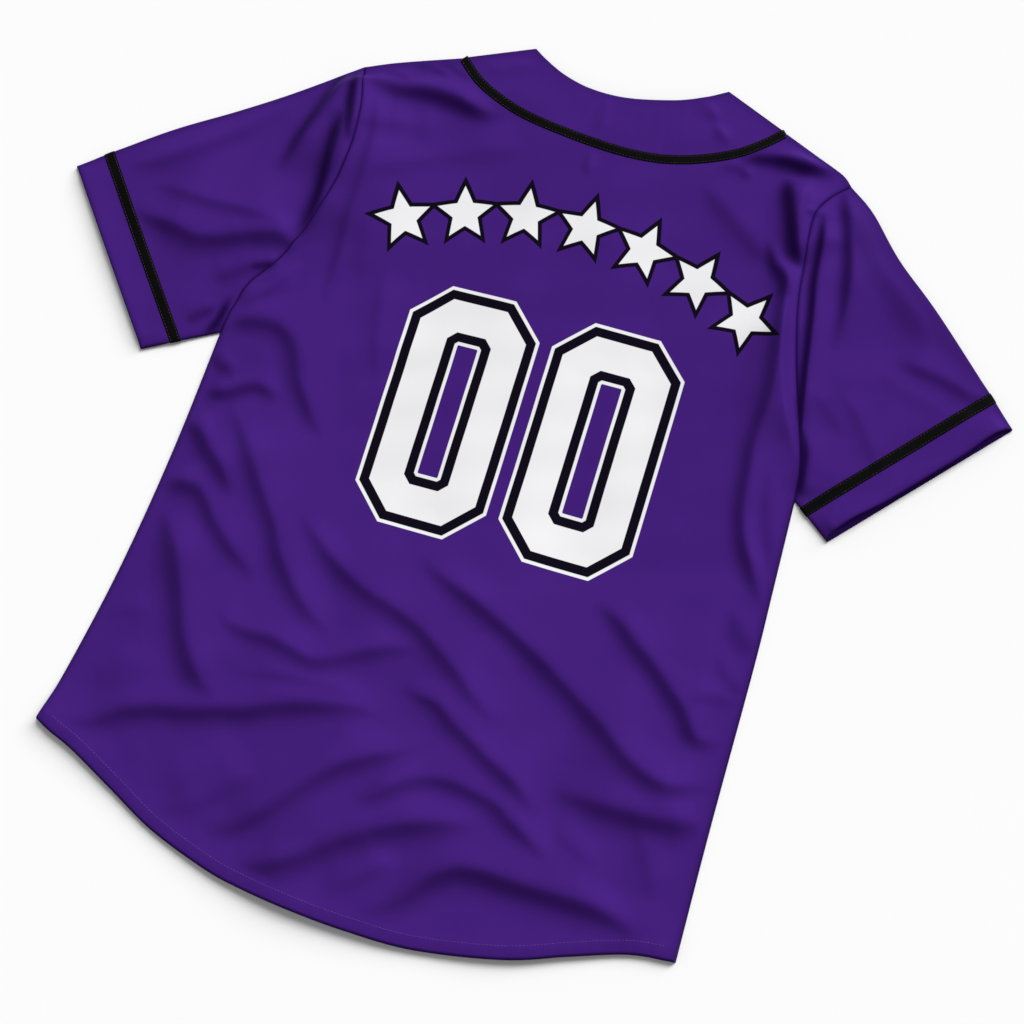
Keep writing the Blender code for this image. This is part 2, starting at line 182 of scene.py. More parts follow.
def edge(start: Array, end: Array, rows: Rows, inward: int) -> Array:
    """A smooth edge of the pattern.

    Args:
        start: Its first point.
        end: Its last point.
        rows: Pairs of a share of the chord and the distance inward from it.
        inward: 1 where the cloth lies to the left of the way from start to end, or -1.

    Returns:
        The points along it.
    """
    chord = end - start
    across = inward * np.array((-chord[1], chord[0])) / np.linalg.norm(chord)
    inner = (start + share * chord + depth * across for share, depth in rows)
    return smooth_curve([start, *inner, end])


def coons(top: Array, bottom: Array, left: Array, right: Array, across: Array, down: Array) -> Array:
    """A grid of points inside four edges.

    Args:
        top, bottom: Edges with a point for each column.
        left, right: Edges with a point for each row.
        across: Each column's share of the way from left to right.
        down: Each row's share of the way from top to bottom.

    Returns:
        The grid, rows first.
    """
    u, v = across[None, :, None], down[:, None, None]
    ruled = (1 - v) * top[None] + v * bottom[None] + (1 - u) * left[:, None] + u * right[:, None]
    corners = (1 - v) * ((1 - u) * top[0] + u * top[-1]) + v * ((1 - u) * bottom[0] + u * bottom[-1])
    return ruled - corners


def shares(length: float, cell: float, first: Sequence[float] = (),
           last: Sequence[float] = ()) -> Array:
    """Shares of a length at even cells, closer together near its ends.

    Args:
        length: The length in metres.
        cell: The even cells' size.
        first: Distances from the start at which there is a point as well.
        last: Distances from the far end at which there is one.

    Returns:
        The shares, from 0 to 1.
    """
    even = np.linspace(0.0, 1.0, round(length / cell) + 1)
    low = (max(first) + cell / 2) / length if first else -1.0
    high = 1.0 - (max(last) + cell / 2) / length if last else 2.0
    inner = even[(even > low) & (even < high)]
    starts, ends = np.array(first) / length, 1.0 - np.array(last) / length
    return np.unique(np.concatenate(([0.0, 1.0], inner, starts, ends)))


class Near(NamedTuple):
    """Where points lie beside a path."""

    distance: Array
    offset: Array
    share: Array


def beside(points: Array, path: Array) -> Near:
    """Measures points against a path.

    Args:
        points: Points of the plane, one in a row.
        path: The path's points.

    Returns:
        The distance from the path, the same with a minus sign on the left of the way, and the
        share of the path's length at which the nearest place is.
    """
    path = path[np.insert(np.any(np.diff(path, axis=0) != 0.0, axis=1), 0, True)]
    lengths = np.linalg.norm(np.diff(path, axis=0), axis=1)
    starts = np.concatenate(([0.0], np.cumsum(lengths)))
    best = np.full(len(points), np.inf)
    turn = np.ones(len(points))
    share = np.zeros(len(points))
    for start, end, length, before in zip(path, path[1:], lengths, starts):
        way, to = (end - start) / length, points - start
        t = np.clip(to @ way, 0.0, length)
        distance = np.linalg.norm(to - t[:, None] * way, axis=1)
        closer = distance < best
        best[closer] = distance[closer]
        turn[closer] = np.sign(way[1] * to[closer, 0] - way[0] * to[closer, 1])
        share[closer] = (before + t[closer]) / starts[-1]
    return Near(best, best * turn, share)


def nearest(points: Array, paths: Sequence[Array]) -> Array:
    """Each point's distance from the nearest of some paths."""
    return np.min([beside(points, path).distance for path in paths], axis=0)


def over_grid(measure: Callable[[Array], Array], plan: Array) -> Array:
    """What a measure of places says for each place of a grid."""
    return measure(plan.reshape(-1, 2)).reshape(plan.shape[:2])


def leftward(path: Array) -> Array:
    """Steps of length 1 to the left of the way, one at each point of a path."""
    way = np.gradient(path, axis=0)
    return np.stack((-way[:, 1], way[:, 0]), axis=1) / np.linalg.norm(way, axis=1)[:, None]


def folded_under(over: Array, under: Array, distance: Array, radius: float) -> tuple[Array, Array]:
    """Brings the two faces of cloth together at an edge that is folded under.

    Args:
        over: The upper face's heights.
        under: The lower face's heights.
        distance: Each place's distance from the folded edge.
        radius: How far in the fold begins.

    Returns:
        The upper and the lower heights.
    """
    over = FOLD_OUTSIDE + (over - FOLD_OUTSIDE) * quarter_round(distance, radius)
    inner = smooth_step((distance - FOLD_CORE) / (radius - FOLD_CORE))
    under = FOLD_INSIDE + (under - FOLD_INSIDE) * inner
    return over, np.minimum(under, over - THINNEST)


# The pattern -------------------------------------------------------------------------------------

class Pair(NamedTuple):
    """A point of the pattern and its twin, as they lie."""

    half: float
    y: float
    shift: float
    rise: float

    def on(self, side: Side) -> Array:
        """The point on a side."""
        return np.array((self.shift + side.value * self.half, self.y + side.value * self.rise / 2))


NECK_TIP = Pair(0.0875, 0.3887, 0.0195, 0.010)
BAND_END = Pair(0.1465, 0.3640, 0.0195, 0.014)
SHOULDER = Pair(0.2215, 0.3325, 0.0125, 0.017)
ARMPIT = Pair(0.2600, 0.0595, 0.0120, 0.007)
HEM_CORNER = Pair(0.2890, -0.3205, 0.0080, -0.021)
CUFF_TOP = Pair(0.4260, 0.1690, 0.0000, 0.014)
CUFF_BOTTOM = Pair(0.3090, 0.0295, -0.0010, 0.017)

# Edges, as (share of the chord, distance inward from it).
NECK_EDGE = ((0.07, 0.0080), (0.18, 0.0178), (0.33, 0.0253), (0.52, 0.0263), (0.75, 0.0188),
             (0.90, 0.0090))
NECK_SEAM = ((0.08, 0.0198), (0.19, 0.0347), (0.30, 0.0433), (0.42, 0.0485), (0.55, 0.0517),
             (0.66, 0.0500), (0.76, 0.0434), (0.87, 0.0300), (0.94, 0.0160))
SHOULDER_EDGE = {Side.LEFT: ((0.64, -0.0012),), Side.RIGHT: ((0.46, -0.0019), (0.83, -0.0033))}
ARMHOLE = {Side.LEFT: ((0.15, 0.0202), (0.30, 0.0290), (0.45, 0.0289), (0.60, 0.0228), (0.72, 0.0142),
                       (0.83, 0.0015)),
           Side.RIGHT: ((0.05, 0.0160), (0.12, 0.0262), (0.25, 0.0272), (0.40, 0.0262), (0.55, 0.0205),
                        (0.68, 0.0131), (0.78, 0.0065), (0.90, 0.0003))}
SIDE_EDGE = {Side.LEFT: ((0.25, 0.0063), (0.46, 0.0091), (0.66, 0.0090), (0.88, 0.0049)),
             Side.RIGHT: ((0.20, -0.0011), (0.37, -0.0017), (0.72, 0.0))}
HEM_EDGE = ((0.026, -0.0064), (0.072, -0.0150), (0.147, -0.0336), (0.226, -0.0530), (0.323, -0.0673),
            (0.383, -0.0715), (0.458, -0.0734), (0.543, -0.0726), (0.646, -0.0670), (0.773, -0.0478),
            (0.858, -0.0262), (0.936, -0.0073))
OVER_ARM = {Side.LEFT: ((0.25, 0.0016), (0.44, 0.0005), (0.68, -0.0028)),
            Side.RIGHT: ((0.12, -0.0033), (0.31, 0.0003), (0.55, -0.0020))}

# The shoulder's part of the back's top edge, and the armhole's part of its side, as shares of cells.
SHOULDER_SHARE = 5 / 34
ARMHOLE_SHARE = 15 / 40
CENTRE_TOP = (0.016, 0.262)
CENTRE_HEM = (0.009, -0.390)


def neck_edge() -> Array:
    """The neck band's free edge, from left to right."""
    return edge(NECK_TIP.on(Side.LEFT), NECK_TIP.on(Side.RIGHT), NECK_EDGE, -1)


def neck_seam() -> Array:
    """The seam under the neck tape, from left to right."""
    return edge(BAND_END.on(Side.LEFT), BAND_END.on(Side.RIGHT), NECK_SEAM, -1)


def shoulder_edge(side: Side) -> Array:
    """The folded shoulder, from the sleeve to the neck band."""
    rows = tuple((1 - share, depth) for share, depth in SHOULDER_EDGE[side][::-1])
    return edge(SHOULDER.on(side), BAND_END.on(side), rows, side.value)


def armhole(side: Side) -> Array:
    """The sleeve's seam, from the shoulder down to the armpit."""
    return edge(SHOULDER.on(side), ARMPIT.on(side), ARMHOLE[side], -side.value)


def side_edge(side: Side) -> Array:
    """The body's side, from the armpit down to the hem."""
    return edge(ARMPIT.on(side), HEM_CORNER.on(side), SIDE_EDGE[side], -side.value)


def hem_edge() -> Array:
    """The shirt-tail hem, from left to right."""
    return edge(HEM_CORNER.on(Side.LEFT), HEM_CORNER.on(Side.RIGHT), HEM_EDGE, 1)


def over_arm(side: Side) -> Array:
    """The sleeve's upper folded edge, from the shoulder to the cuff."""
    return edge(SHOULDER.on(side), CUFF_TOP.on(side), OVER_ARM[side], -side.value)


def centre_x(y: Array | float) -> Array | float:
    """The centre front's place at a height y up the body."""
    (top_x, top_y), (hem_x, hem_y) = CENTRE_TOP, CENTRE_HEM
    return hem_x + (top_x - hem_x) * (y - hem_y) / (top_y - hem_y)


def silhouette() -> Array:
    """The whole outline of the jersey, as a closed path."""
    left, right = Side.LEFT, Side.RIGHT
    return np.vstack((over_arm(left)[::-1], shoulder_edge(left), NECK_TIP.on(left), neck_edge(),
                      shoulder_edge(right)[::-1], over_arm(right), CUFF_BOTTOM.on(right),
                      side_edge(right), hem_edge()[::-1], side_edge(left)[::-1],
                      CUFF_BOTTOM.on(left), CUFF_TOP.on(left)))


# How the cloth lies ------------------------------------------------------------------------------

class Crease(NamedTuple):
    """A soft fold, in millimetres.

    "line" holds x and y in turn. It runs where the fold is steepest, and the cloth drops to the
    right of the way along it. Its other side is gentler. "fades" are the shares of the line over
    which the fold grows and dies away. The last number is how much the cloth is doubled under along
    the line, from 0 to 1: it shortens the ramp over which the fold grows from the outline, and it sets
    how deep the painted shade beside the line is.
    """

    line: tuple[float, ...]
    height: float
    steep: float
    gentle: float
    fades: tuple[float, float] = (0.35, 0.35)
    tuck_and_shade: float = 0.0


BACK_CREASES = (
    # lower left
    Crease((-239, -112, -222, -136, -210, -157, -199, -179, -187, -204, -173, -224, -157, -239,
        -141, -246), 11.5, 12, 28, (0.25, 0.25), 0.25),
    Crease((-250, -306, -228, -298, -210, -285, -187, -275, -160, -268, -133, -259, -106, -250,
        -79, -237, -52, -228, -25, -221, 5, -218), 10.0, 10, 26, (0.25, 0.3), 0.25),
    Crease((-129, -223, -97, -214, -48, -209, -18, -207), 2.5, 6, 12),
    Crease((-160, -176, -147, -186, -129, -188, -111, -187, -93, -190, -70, -194, -52, -187, -30, -174,
        -7, -162, 12, -155), 7.5, 8, 22, (0.3, 0.25), 0.1),
    Crease((-214, -5, -203, -18, -190, -34, -174, -56, -156, -78, -142, -96, -131, -115, -115, -133,
        -102, -146, -84, -158, -64, -165), 9.0, 10, 28, (0.3, 0.25), 0.15),
    Crease((-248, -29, -232, -38, -219, -50, -203, -62, -190, -77), 8.0, 9, 22, (0.2, 0.35), 0.35),
    Crease((-248, -88, -232, -84, -219, -84, -210, -89, -196, -104, -178, -119, -160, -131, -145, -139),
        7.5, 9, 24, (0.2, 0.35), 0.25),
    Crease((-252, -210, -237, -201, -221, -196), 1.5, 7, 22),
    Crease((-234, -270, -224, -250, -219, -230), 1.5, 8, 22),
    Crease((-188, -318, -176, -299, -169, -281), 1.4, 8, 22),
    Crease((-146, -352, -120, -335, -97, -313, -78, -298), 4.5, 10, 20),
    # lower middle
    Crease((-124, -76, -102, -94, -79, -110, -48, -124, -21, -131, 6, -140, 33, -156, 54, -170,
        70, -181, 96, -195), 7.5, 9, 24, (0.25, 0.25), 0.12),
    Crease((-101, -356, -79, -340, -57, -317, -39, -295, -21, -275, 1, -259, 24, -245, 50, -224), 9.5,
        9, 22, (0.25, 0.35), 0.2),
    Crease((-68, -373, -43, -365, -21, -351, -3, -335, 15, -322, 41, -306, 62, -296, 83, -288,
        106, -279), 10.0, 11, 22, (0.2, 0.3), 0.25),
    Crease((8, -291, 20, -284, 37, -269, 54, -258, 75, -254, 96, -256, 117, -260, 133, -269, 150, -277,
        172, -287), 7.0, 8, 22, (0.2, 0.25), 0.15),
    Crease((12, -191, 33, -194, 45, -197, 62, -208, 79, -216, 100, -227, 121, -236, 138, -246,
        150, -254), 7.5, 8, 24, (0.25, 0.25), 0.15),
    Crease((12, -372, 20, -360, 37, -345, 56, -330), 4.0, 9, 18),
    # lower right
    Crease((42, -377, 62, -363, 75, -349, 87, -334, 104, -321, 125, -317, 150, -317, 175, -316,
        200, -315, 222, -315, 243, -318, 262, -323), 10.5, 11, 24, (0.35, 0.25), 0.4),
    Crease((-12, -82, 10, -92, 20, -96, 45, -105, 75, -117, 104, -130, 129, -143, 154, -157, 180, -172,
        205, -189, 226, -198, 247, -201, 268, -193, 284, -184), 9.0, 9, 28, (0.2, 0.2), 0.15),
    Crease((146, -72, 167, -84, 184, -97, 200, -107, 222, -124, 238, -137, 249, -151, 260, -156,
        277, -151), 9.0, 9, 26, (0.25, 0.25), 0.3),
    Crease((246, -123, 258, -119, 274, -116), 1.2, 7, 16, tuck_and_shade=0.2),
    Crease((155, -233, 180, -233, 200, -234, 222, -233, 243, -232, 263, -229, 282, -221), 9.0, 12, 26,
        (0.45, 0.2), 0.4),
    Crease((172, -262, 188, -271, 208, -279), 2.5, 8, 20),
    Crease((232, -243, 247, -262, 255, -279, 261, -288), 3.0, 10, 20),
    Crease((245, 80, 248, 65, 252, 48, 258, 30, 272, 2), 4.0, 8, 18, tuck_and_shade=0.15),
    Crease((254, -46, 262, -60, 276, -70), 2.5, 10, 22, tuck_and_shade=0.3),
    Crease((254, -84, 262, -96, 280, -106), 1.0, 7, 20, tuck_and_shade=0.2),
    # under the left arm
    Crease((-240, 62, -234, 66, -227, 70, -212, 73, -198, 72, -184, 64, -175, 50, -166, 32, -155, 18,
        -144, 5, -130, -6), 7.5, 9, 22, (0.2, 0.3), 0.2),
    Crease((-247, 36, -238, 28, -227, 25), 2.0, 7, 16, tuck_and_shade=0.5),
    Crease((-238, 1, -221, 5, -211, 12, -198, 18, -182, 15), 4.0, 7, 20, (0.25, 0.3), 0.5),
    Crease((-238, 76, -226, 92, -211, 108, -200, 132), 5.0, 9, 8),
    Crease((-186, 300, -180, 277, -177, 250, -175, 226, -175, 202, -175, 178, -173, 154, -171, 130,
        -168, 104), 4.5, 7, 24, (0.25, 0.3), 0.1),
    Crease((-128, 150, -124, 122, -119, 100, -112, 79, -105, 58), 3.0, 7, 16),
    Crease((-158, 185, -154, 165, -150, 140), 1.5, 7, 14),
    # across the right shoulder, and inside the right armhole
    Crease((141, 337, 150, 341, 162, 343, 177, 344, 192, 344, 204, 346, 214, 348), 9.0, 8, 14,
        (0.25, 0.35), 1.0),
    Crease((127, 326, 138, 327, 146, 323), 3.0, 5, 12, tuck_and_shade=0.3),
    Crease((182, 327, 185, 319, 189, 309, 194, 297, 199, 285, 204, 273, 211, 262), 9.0, 9, 26,
        (0.2, 0.25), 0.95),
    Crease((116, 300, 138, 284, 156, 272, 174, 261, 186, 253), 4.5, 10, 24, (0.3, 0.25), 0.1),
    Crease((184, 268, 192, 254, 204, 243, 210, 228, 213, 210, 216, 190, 219, 170, 222, 150, 223, 128,
        222, 100, 225, 78, 228, 58, 231, 40, 236, 25, 243, 10, 255, -7, 272, -30), 9.0, 8, 15,
        (0.12, 0.15), 0.25),
    Crease((184, 268, 192, 254, 204, 243, 210, 228), 1.0, 7, 14, (0.3, 0.3), 0.7),
    Crease((217, 262, 211, 280, 205, 297, 202, 315, 202, 334), 4.5, 5, 10, (0.2, 0.3)),
    Crease((262, 100, 251, 122, 239, 146, 230, 168, 222, 193, 215, 220, 209, 243), 8.0, 5, 14,
        (0.3, 0.3)),
    Crease((210, 306, 218, 307, 225, 307), 1.6, 2.5, 6, (0.2, 0.35), 0.3),
    # across the left shoulder
    Crease((-203, 315, -186, 311, -168, 310, -150, 313, -135, 314, -120, 313, -105, 311, -90, 311,
        -78, 315), 7.5, 10, 16, (0.5, 0.25), 0.85),
    Crease((-160, 338, -150, 339, -137, 337), 1.8, 5, 9, tuck_and_shade=0.35),
    Crease((-142, 347, -132, 345, -119, 341), 1.8, 5, 9, tuck_and_shade=0.35),
    Crease((-186, 325, -176, 325, -166, 323), 1.5, 4, 8, tuck_and_shade=0.2),
    Crease((-169, 303, -167, 290, -163, 276), 1.2, 6, 18),
    Crease((-142, 297, -139, 284, -138, 272), 1.2, 6, 18),
    # on the neck band, and below its tape
    Crease((84, 376, 93, 371, 102, 365), 3.0, 7, 10, (0.4, 0.4), 0.3),
    Crease((107, 356, 113, 350, 119, 345), 3.0, 6, 9, (0.4, 0.4), 0.3),
    Crease((-100, 347, -82, 358, -65, 366), 2.2, 6, 10, (0.35, 0.4), 0.1),
    Crease((7, 360, 9, 340, 7, 322), 1.5, 4, 8, tuck_and_shade=0.1),
    Crease((9, 305, 11, 288), 2.0, 4, 8, (0.4, 0.4), 0.1),
    # above the print
    Crease((-174, 223, -155, 235, -135, 247, -112, 259, -76, 275, -42, 290), 3.5, 11, 22, (0.3, 0.3)),
)

SLEEVE_CREASES = (
    # left
    Crease((-211, 312, -210, 307, -207, 292, -203, 277, -200, 266, -196, 254), 9.0, 7, 40, (0.15, 0.4),
        1.0),
    Crease((-210, 275, -209, 250, -208, 232, -207, 214, -206, 196, -207, 178, -210, 162, -213, 152),
        10.0, 9, 32, (0.2, 0.4), 1.0),
    Crease((-222, 316, -224, 306, -227, 294, -233, 271, -239, 250, -243, 232, -248, 212), 10.0, 8, 28,
        (0.15, 0.4), 0.8),
    Crease((-218, 300, -220, 285, -221, 268), 1.2, 5, 14),
    Crease((-380, 175, -354, 184, -333, 198, -315, 212, -293, 232, -275, 252, -258, 269), 5.5, 10, 26,
        (0.3, 0.3), 0.1),
    Crease((-348, 165, -322, 163, -293, 162, -268, 164, -243, 164, -226, 162, -212, 160), 4.0, 6.5, 18,
        (0.3, 0.45), 0.1),
    Crease((-358, 137, -340, 133, -318, 130, -297, 127, -279, 131, -261, 139, -243, 146, -228, 150,
        -219, 149, -214, 145), 8.5, 10, 22, (0.3, 0.15), 0.4),
    Crease((-332, 119, -302, 114, -276, 120), 2.0, 12, 20),
    Crease((-238, 121, -231, 124, -225, 127), 1.6, 5, 16, tuck_and_shade=0.85),
    Crease((-266, 100, -252, 111, -236, 121), 2.2, 8, 22, tuck_and_shade=0.3),
    Crease((-276, 60, -270, 66, -262, 72), 1.0, 6, 16, tuck_and_shade=0.5),
    Crease((-249, 84, -252, 66, -258, 50), 3.5, 6, 16, tuck_and_shade=1.0),
    # right
    Crease((221, 306, 223, 296, 226, 280, 230, 250, 237, 220, 243, 190, 249, 160, 254, 139, 260, 119),
        8.0, 5, 20, (0.15, 0.2), 0.8),
    Crease((258, 124, 266, 110, 270, 98, 272, 86, 274, 72), 4.0, 5.5, 22, (0.45, 0.2), 0.85),
    Crease((230, 334, 236, 320, 242, 305, 248, 287, 254, 269, 258, 251, 261, 236, 263, 218, 264, 200),
        7.5, 7, 22, (0.2, 0.45), 0.6),
    Crease((240, 323, 260, 299, 278, 273, 299, 257, 320, 240, 344, 225), 2.2, 16, 24, (0.25, 0.3),
        0.45),
    Crease((236, 330, 256, 315, 276, 296, 300, 278, 325, 257, 350, 234, 375, 212, 392, 198), 0.3, 17,
        20, (0.15, 0.15), 0.3),
    Crease((322, 201, 341, 199, 356, 197, 371, 194, 386, 191, 396, 193), 3.0, 7, 26, (0.3, 0.15), 0.4),
    Crease((308, 183, 326, 178, 344, 173, 368, 169), 1.2, 7, 20),
    Crease((282, 160, 293, 149, 302, 140, 311, 129, 320, 119, 328, 108), 2.5, 8, 20),
    Crease((255, 155, 269, 146, 281, 137, 292, 127), 1.6, 7, 18),
)


@dataclass
class Drape:
    """The cloth's upper layer: how high it lies at any place.

    On its gentle side, a fold is a narrow ridge on a broad slope. "narrow" and "broad" give their
    widths as shares of the crease's gentle width, and "broad_part" is the slope's part of the
    height. The crest lies "crest_set" of the steep width behind the line. A crease is worked out to
    "reach" of its broad widths on each side, runs on by "overrun" at both ends, and keeps
    "least_at_outline" of its height at the jersey's outline. The painted shade where the cloth is
    doubled under is measured in steep widths.
    """

    creases: tuple[Crease, ...] = BACK_CREASES + SLEEVE_CREASES
    rise: float = 0.92
    narrow: float = 0.55
    broad: float = 2.2
    broad_part: float = 0.86
    broad_length: float = 0.13
    broad_from_outline: float = 0.045
    broad_fades: float = 3.0
    drop_power: float = 1.6
    crest_set: float = 0.6
    least_steep: float = 0.4
    reach: float = 2.0
    overrun: float = 0.007
    straightens: float = 0.035
    least_at_outline: float = 0.2
    outline_ramp: float = 0.030
    tucked_shorter: float = 0.020
    least_at_tape: float = 0.1
    tape_margin: float = 0.004
    tape_ramp: float = 0.020
    tuck_width: float = 0.85
    tuck_set: float = 0.1
    tuck_reach: float = 3.0
    loft: float = 0.0016
    loft_width: float = 0.045
    flat_loft: float = 0.6
    wave: float = 0.00022
    wave_lengths: tuple[float, float, int] = (0.045, 0.150, 9)
    seed: int = 5

    def base(self, points: Array) -> Array:
        """The underside with no folds: clear of the fronts, and higher over their placket."""
        off_centre = np.abs(points[:, 0] - centre_x(points[:, 1]))
        over_placket = 1.0 - smooth_step((off_centre - RIDGE_HALF) / RIDGE_RAMP)
        return BACK_LIFT + (RIDGE_LIFT - BACK_LIFT) * over_placket

    def path(self, crease: Crease) -> Array:
        """The crease's line in metres, run on a little at both ends."""
        line = smooth_curve(np.reshape(crease.line, (-1, 2)), 4) * MM
        first, last = line[0] - line[1], line[-1] - line[-2]
        return np.vstack((line[0] + first / np.linalg.norm(first) * self.overrun, line,
                          line[-1] + last / np.linalg.norm(last) * self.overrun))

    def near(self, crease: Crease, points: Array, margin: float) -> tuple[Array, Near, Array]:
        """Measures points against a crease.

        Args:
            crease: The crease.
            points: Places in the plane, one in a row.
            margin: How far beyond its line's box it counts.

        Returns:
            Which points lie within the margin, where those lie beside the line, and the share of
            the crease's height that is reached there.
        """
        line = self.path(crease)
        low, high = line.min(axis=0) - margin, line.max(axis=0) + margin
        close = np.all((points > low) & (points < high), axis=1)
        near = beside(points[close], line)
        chord = line[-1] - line[0]
        straight = np.clip((points[close] - line[0]) @ chord / (chord @ chord), 0.0, 1.0)
        share = near.share + smooth_step(near.distance / self.straightens) * (straight - near.share)
        near = near._replace(share=share)
        grows, dies = crease.fades
        return close, near, smooth_step(share / grows) * smooth_step((1.0 - share) / dies)

    def fold(self, crease: Crease, points: Array, from_outline: Array) -> Array:
        """How much one crease raises the cloth.

        Args:
            crease: The crease.
            points: Places in the plane, one in a row.
            from_outline: Each place's distance from the jersey's outline.

        Returns:
            A height for each.
        """
        height = np.zeros(len(points))
        gentle = crease.gentle * MM
        close, near, swell = self.near(crease, points, self.reach * self.broad * gentle)
        if not close.any():
            return height
        inside = from_outline[close]
        ramp = self.outline_ramp - self.tucked_shorter * crease.tuck_and_shade
        least = self.least_at_outline
        crest = swell * (least + (1.0 - least) * smooth_step(inside / ramp))
        steep = crease.steep * MM * (self.least_steep + (1.0 - self.least_steep) * swell)
        past = near.offset + self.crest_set * steep
        length = np.linalg.norm(np.diff(self.path(crease), axis=0), axis=1).sum()
        slope = self.broad_part * smooth_step(length / self.broad_length) * crest
        fades = self.broad_fades
        slope = slope * smooth_step(fades * near.share) * smooth_step(fades - fades * near.share)
        slope = slope * smooth_step(inside / self.broad_from_outline)
        gentler = (slope * bell(past, self.broad * gentle)
                   + (crest - slope) * bell(past, self.narrow * gentle))
        drop = crest * np.exp(-((np.maximum(past, 0.0) / steep) ** self.drop_power))
        height[close] = np.where(past > 0, drop, gentler)
        return height * crease.height * MM * self.rise

    def folds(self, points: Array) -> Array:
        """How much all the creases raise the cloth."""
        from_outline = beside(points, silhouette()).distance
        height = sum(self.fold(crease, points, from_outline) for crease in self.creases)
        by_tape = beside(points, neck_seam()).distance
        clear = smooth_step((by_tape - self.tape_margin) / self.tape_ramp)
        return height * (self.least_at_tape + (1.0 - self.least_at_tape) * clear)

    def painted_tuck_shade(self, points: Array) -> Array:
        """How much painted shade each place gets where the cloth is doubled under, from 0 to 1."""
        depth = np.zeros(len(points))
        for crease in self.creases:
            if crease.tuck_and_shade:
                width = self.tuck_width * crease.steep * MM
                close, near, swell = self.near(crease, points, self.tuck_reach * width)
                beside_line = bell(near.offset - self.tuck_set * width, width)
                # Painted shade beside the crease's line, where the cloth is doubled under.
                depth[close] = np.maximum(depth[close], crease.tuck_and_shade * np.sqrt(swell) * beside_line)
        return depth

    def waves(self, points: Array) -> Array:
        """Slow, shallow unevenness, from a few waves that cross."""
        dice = np.random.default_rng(self.seed)
        height = np.zeros(len(points))
        for length in np.linspace(*self.wave_lengths):
            heading, phase = dice.uniform(0, 2 * math.pi, 2)
            way = np.array((math.cos(heading), math.sin(heading)))
            height += np.sin(points @ way * 2 * math.pi / length + phase) * self.wave
        return height

    def underside(self, points: Array) -> Array:
        """The height of the upper layer's underside.

        Args:
            points: Places in the plane, one in a row.

        Returns:
            A height for each.
        """
        inside = smooth_step(beside(points, silhouette()).distance / self.loft_width)
        flowing = np.maximum(self.waves(points) + (1.0 - self.flat_loft) * self.loft, 0.0)
        return self.base(points) + self.folds(points) + (self.flat_loft * self.loft + flowing) * inside


# Meshes ------------------------------------------------------------------------------------------

def add_mesh(name: str, points: Array, faces: list, grain: Array | None = None,
             marks: dict[str, Array] | None = None) -> Object:
    """A smooth mesh object in the scene.

    Args:
        name: The piece's name.
        points: Its points.
        faces: Its faces, each a row of point numbers.
        grain: Each point's place along and across the cloth, for the UV map "grain".
        marks: Other numbers for each point, by the attribute's name.

    Returns:
        The object.
    """
    mesh = bpy.data.meshes.new(name)
    mesh.from_pydata(points.tolist(), [], faces)
    if grain is not None:
        corners = np.empty(len(mesh.loops), np.int32)
        mesh.loops.foreach_get("vertex_index", corners)
        places = grain[corners].astype(np.float32).ravel()
        mesh.uv_layers.new(name="grain").data.foreach_set("uv", places)
    for mark, values in (marks or {}).items():
        attribute = mesh.attributes.new(mark, "FLOAT", "POINT")
        attribute.data.foreach_set("value", values.astype(np.float32))
    mesh.shade_smooth()
    mesh.update()
    return linked(name, mesh)


def linked(name: str, data: bpy.types.ID) -> Object:
    """An object with the data, in the scene."""
    made = bpy.data.objects.new(name, data)
    bpy.context.scene.collection.objects.link(made)
    return made


def quads(numbers: Array, turned: bool = False) -> Array:
    """The faces of a grid of point numbers, turned over if asked."""
    corners = (numbers[:-1, :-1], numbers[1:, :-1], numbers[1:, 1:], numbers[:-1, 1:])
    return np.stack([corner.ravel() for corner in (corners[::-1] if turned else corners)], axis=1)


def border(numbers: Array) -> Array:
    """The outermost entries of a grid, as a loop that ends where it starts."""
    return np.concatenate((numbers[0, :-1], numbers[:-1, -1], numbers[-1, :0:-1], numbers[::-1, 0]))


def sheet_shell(name: str, top: Array, bottom: Array, grain: Array,
                rim: float = CLOTH_RIM, edge_line: Array | None = None) -> Object:
    """A closed wall between two grids of points, with a rounded rim.

    Args:
        name: The piece's name.
        top: The upper surface, rows down the piece and columns across it.
        bottom: The lower surface, on the same grid.
        grain: Each grid point's place along and across the cloth.
        rim: How far the middle of the rim stands out.
        edge_line: How much painted shade each grid point gets at a folded edge, a seam or
            doubled cloth, for the finish.

    Returns:
        The piece.
    """
    rows, columns = top.shape[:2]
    count = rows * columns
    upper = np.arange(count).reshape(rows, columns)
    loop = border(upper)[:-1]
    r, c = loop // columns, loop % columns
    inner = top[np.clip(r, 1, rows - 2), np.clip(c, 1, columns - 2)]
    out = top[r, c] - inner
    out[:, 2] = 0.0
    out /= np.linalg.norm(out, axis=1)[:, None]
    middle = (top[r, c] + bottom[r, c]) / 2 + out * rim
    points = np.vstack((top.reshape(-1, 3), bottom.reshape(-1, 3), middle))
    rings = np.stack((loop, 2 * count + np.arange(len(loop)), loop + count))
    rings = np.hstack((rings, rings[:, :1]))
    across, down = top[0, -1] - top[0, 0], top[-1, 0] - top[0, 0]
    flipped = across[0] * down[1] - across[1] * down[0] > 0
    faces = np.vstack((quads(upper, flipped), quads(upper + count, not flipped),
                       quads(rings.T, flipped)))
    flat = grain.reshape(-1, 2)
    # Painted shade at edges, seams and doubled cloth, the same on both faces and on the rim.
    line = np.zeros(count) if edge_line is None else edge_line.ravel()
    marks = {"edge_line": np.concatenate((line, line, line[loop])),
             "outer_face": np.concatenate((np.ones(count), np.zeros(count + len(loop))))}
    return add_mesh(name, points, faces.tolist(), np.vstack((flat, flat, flat[loop])), marks)


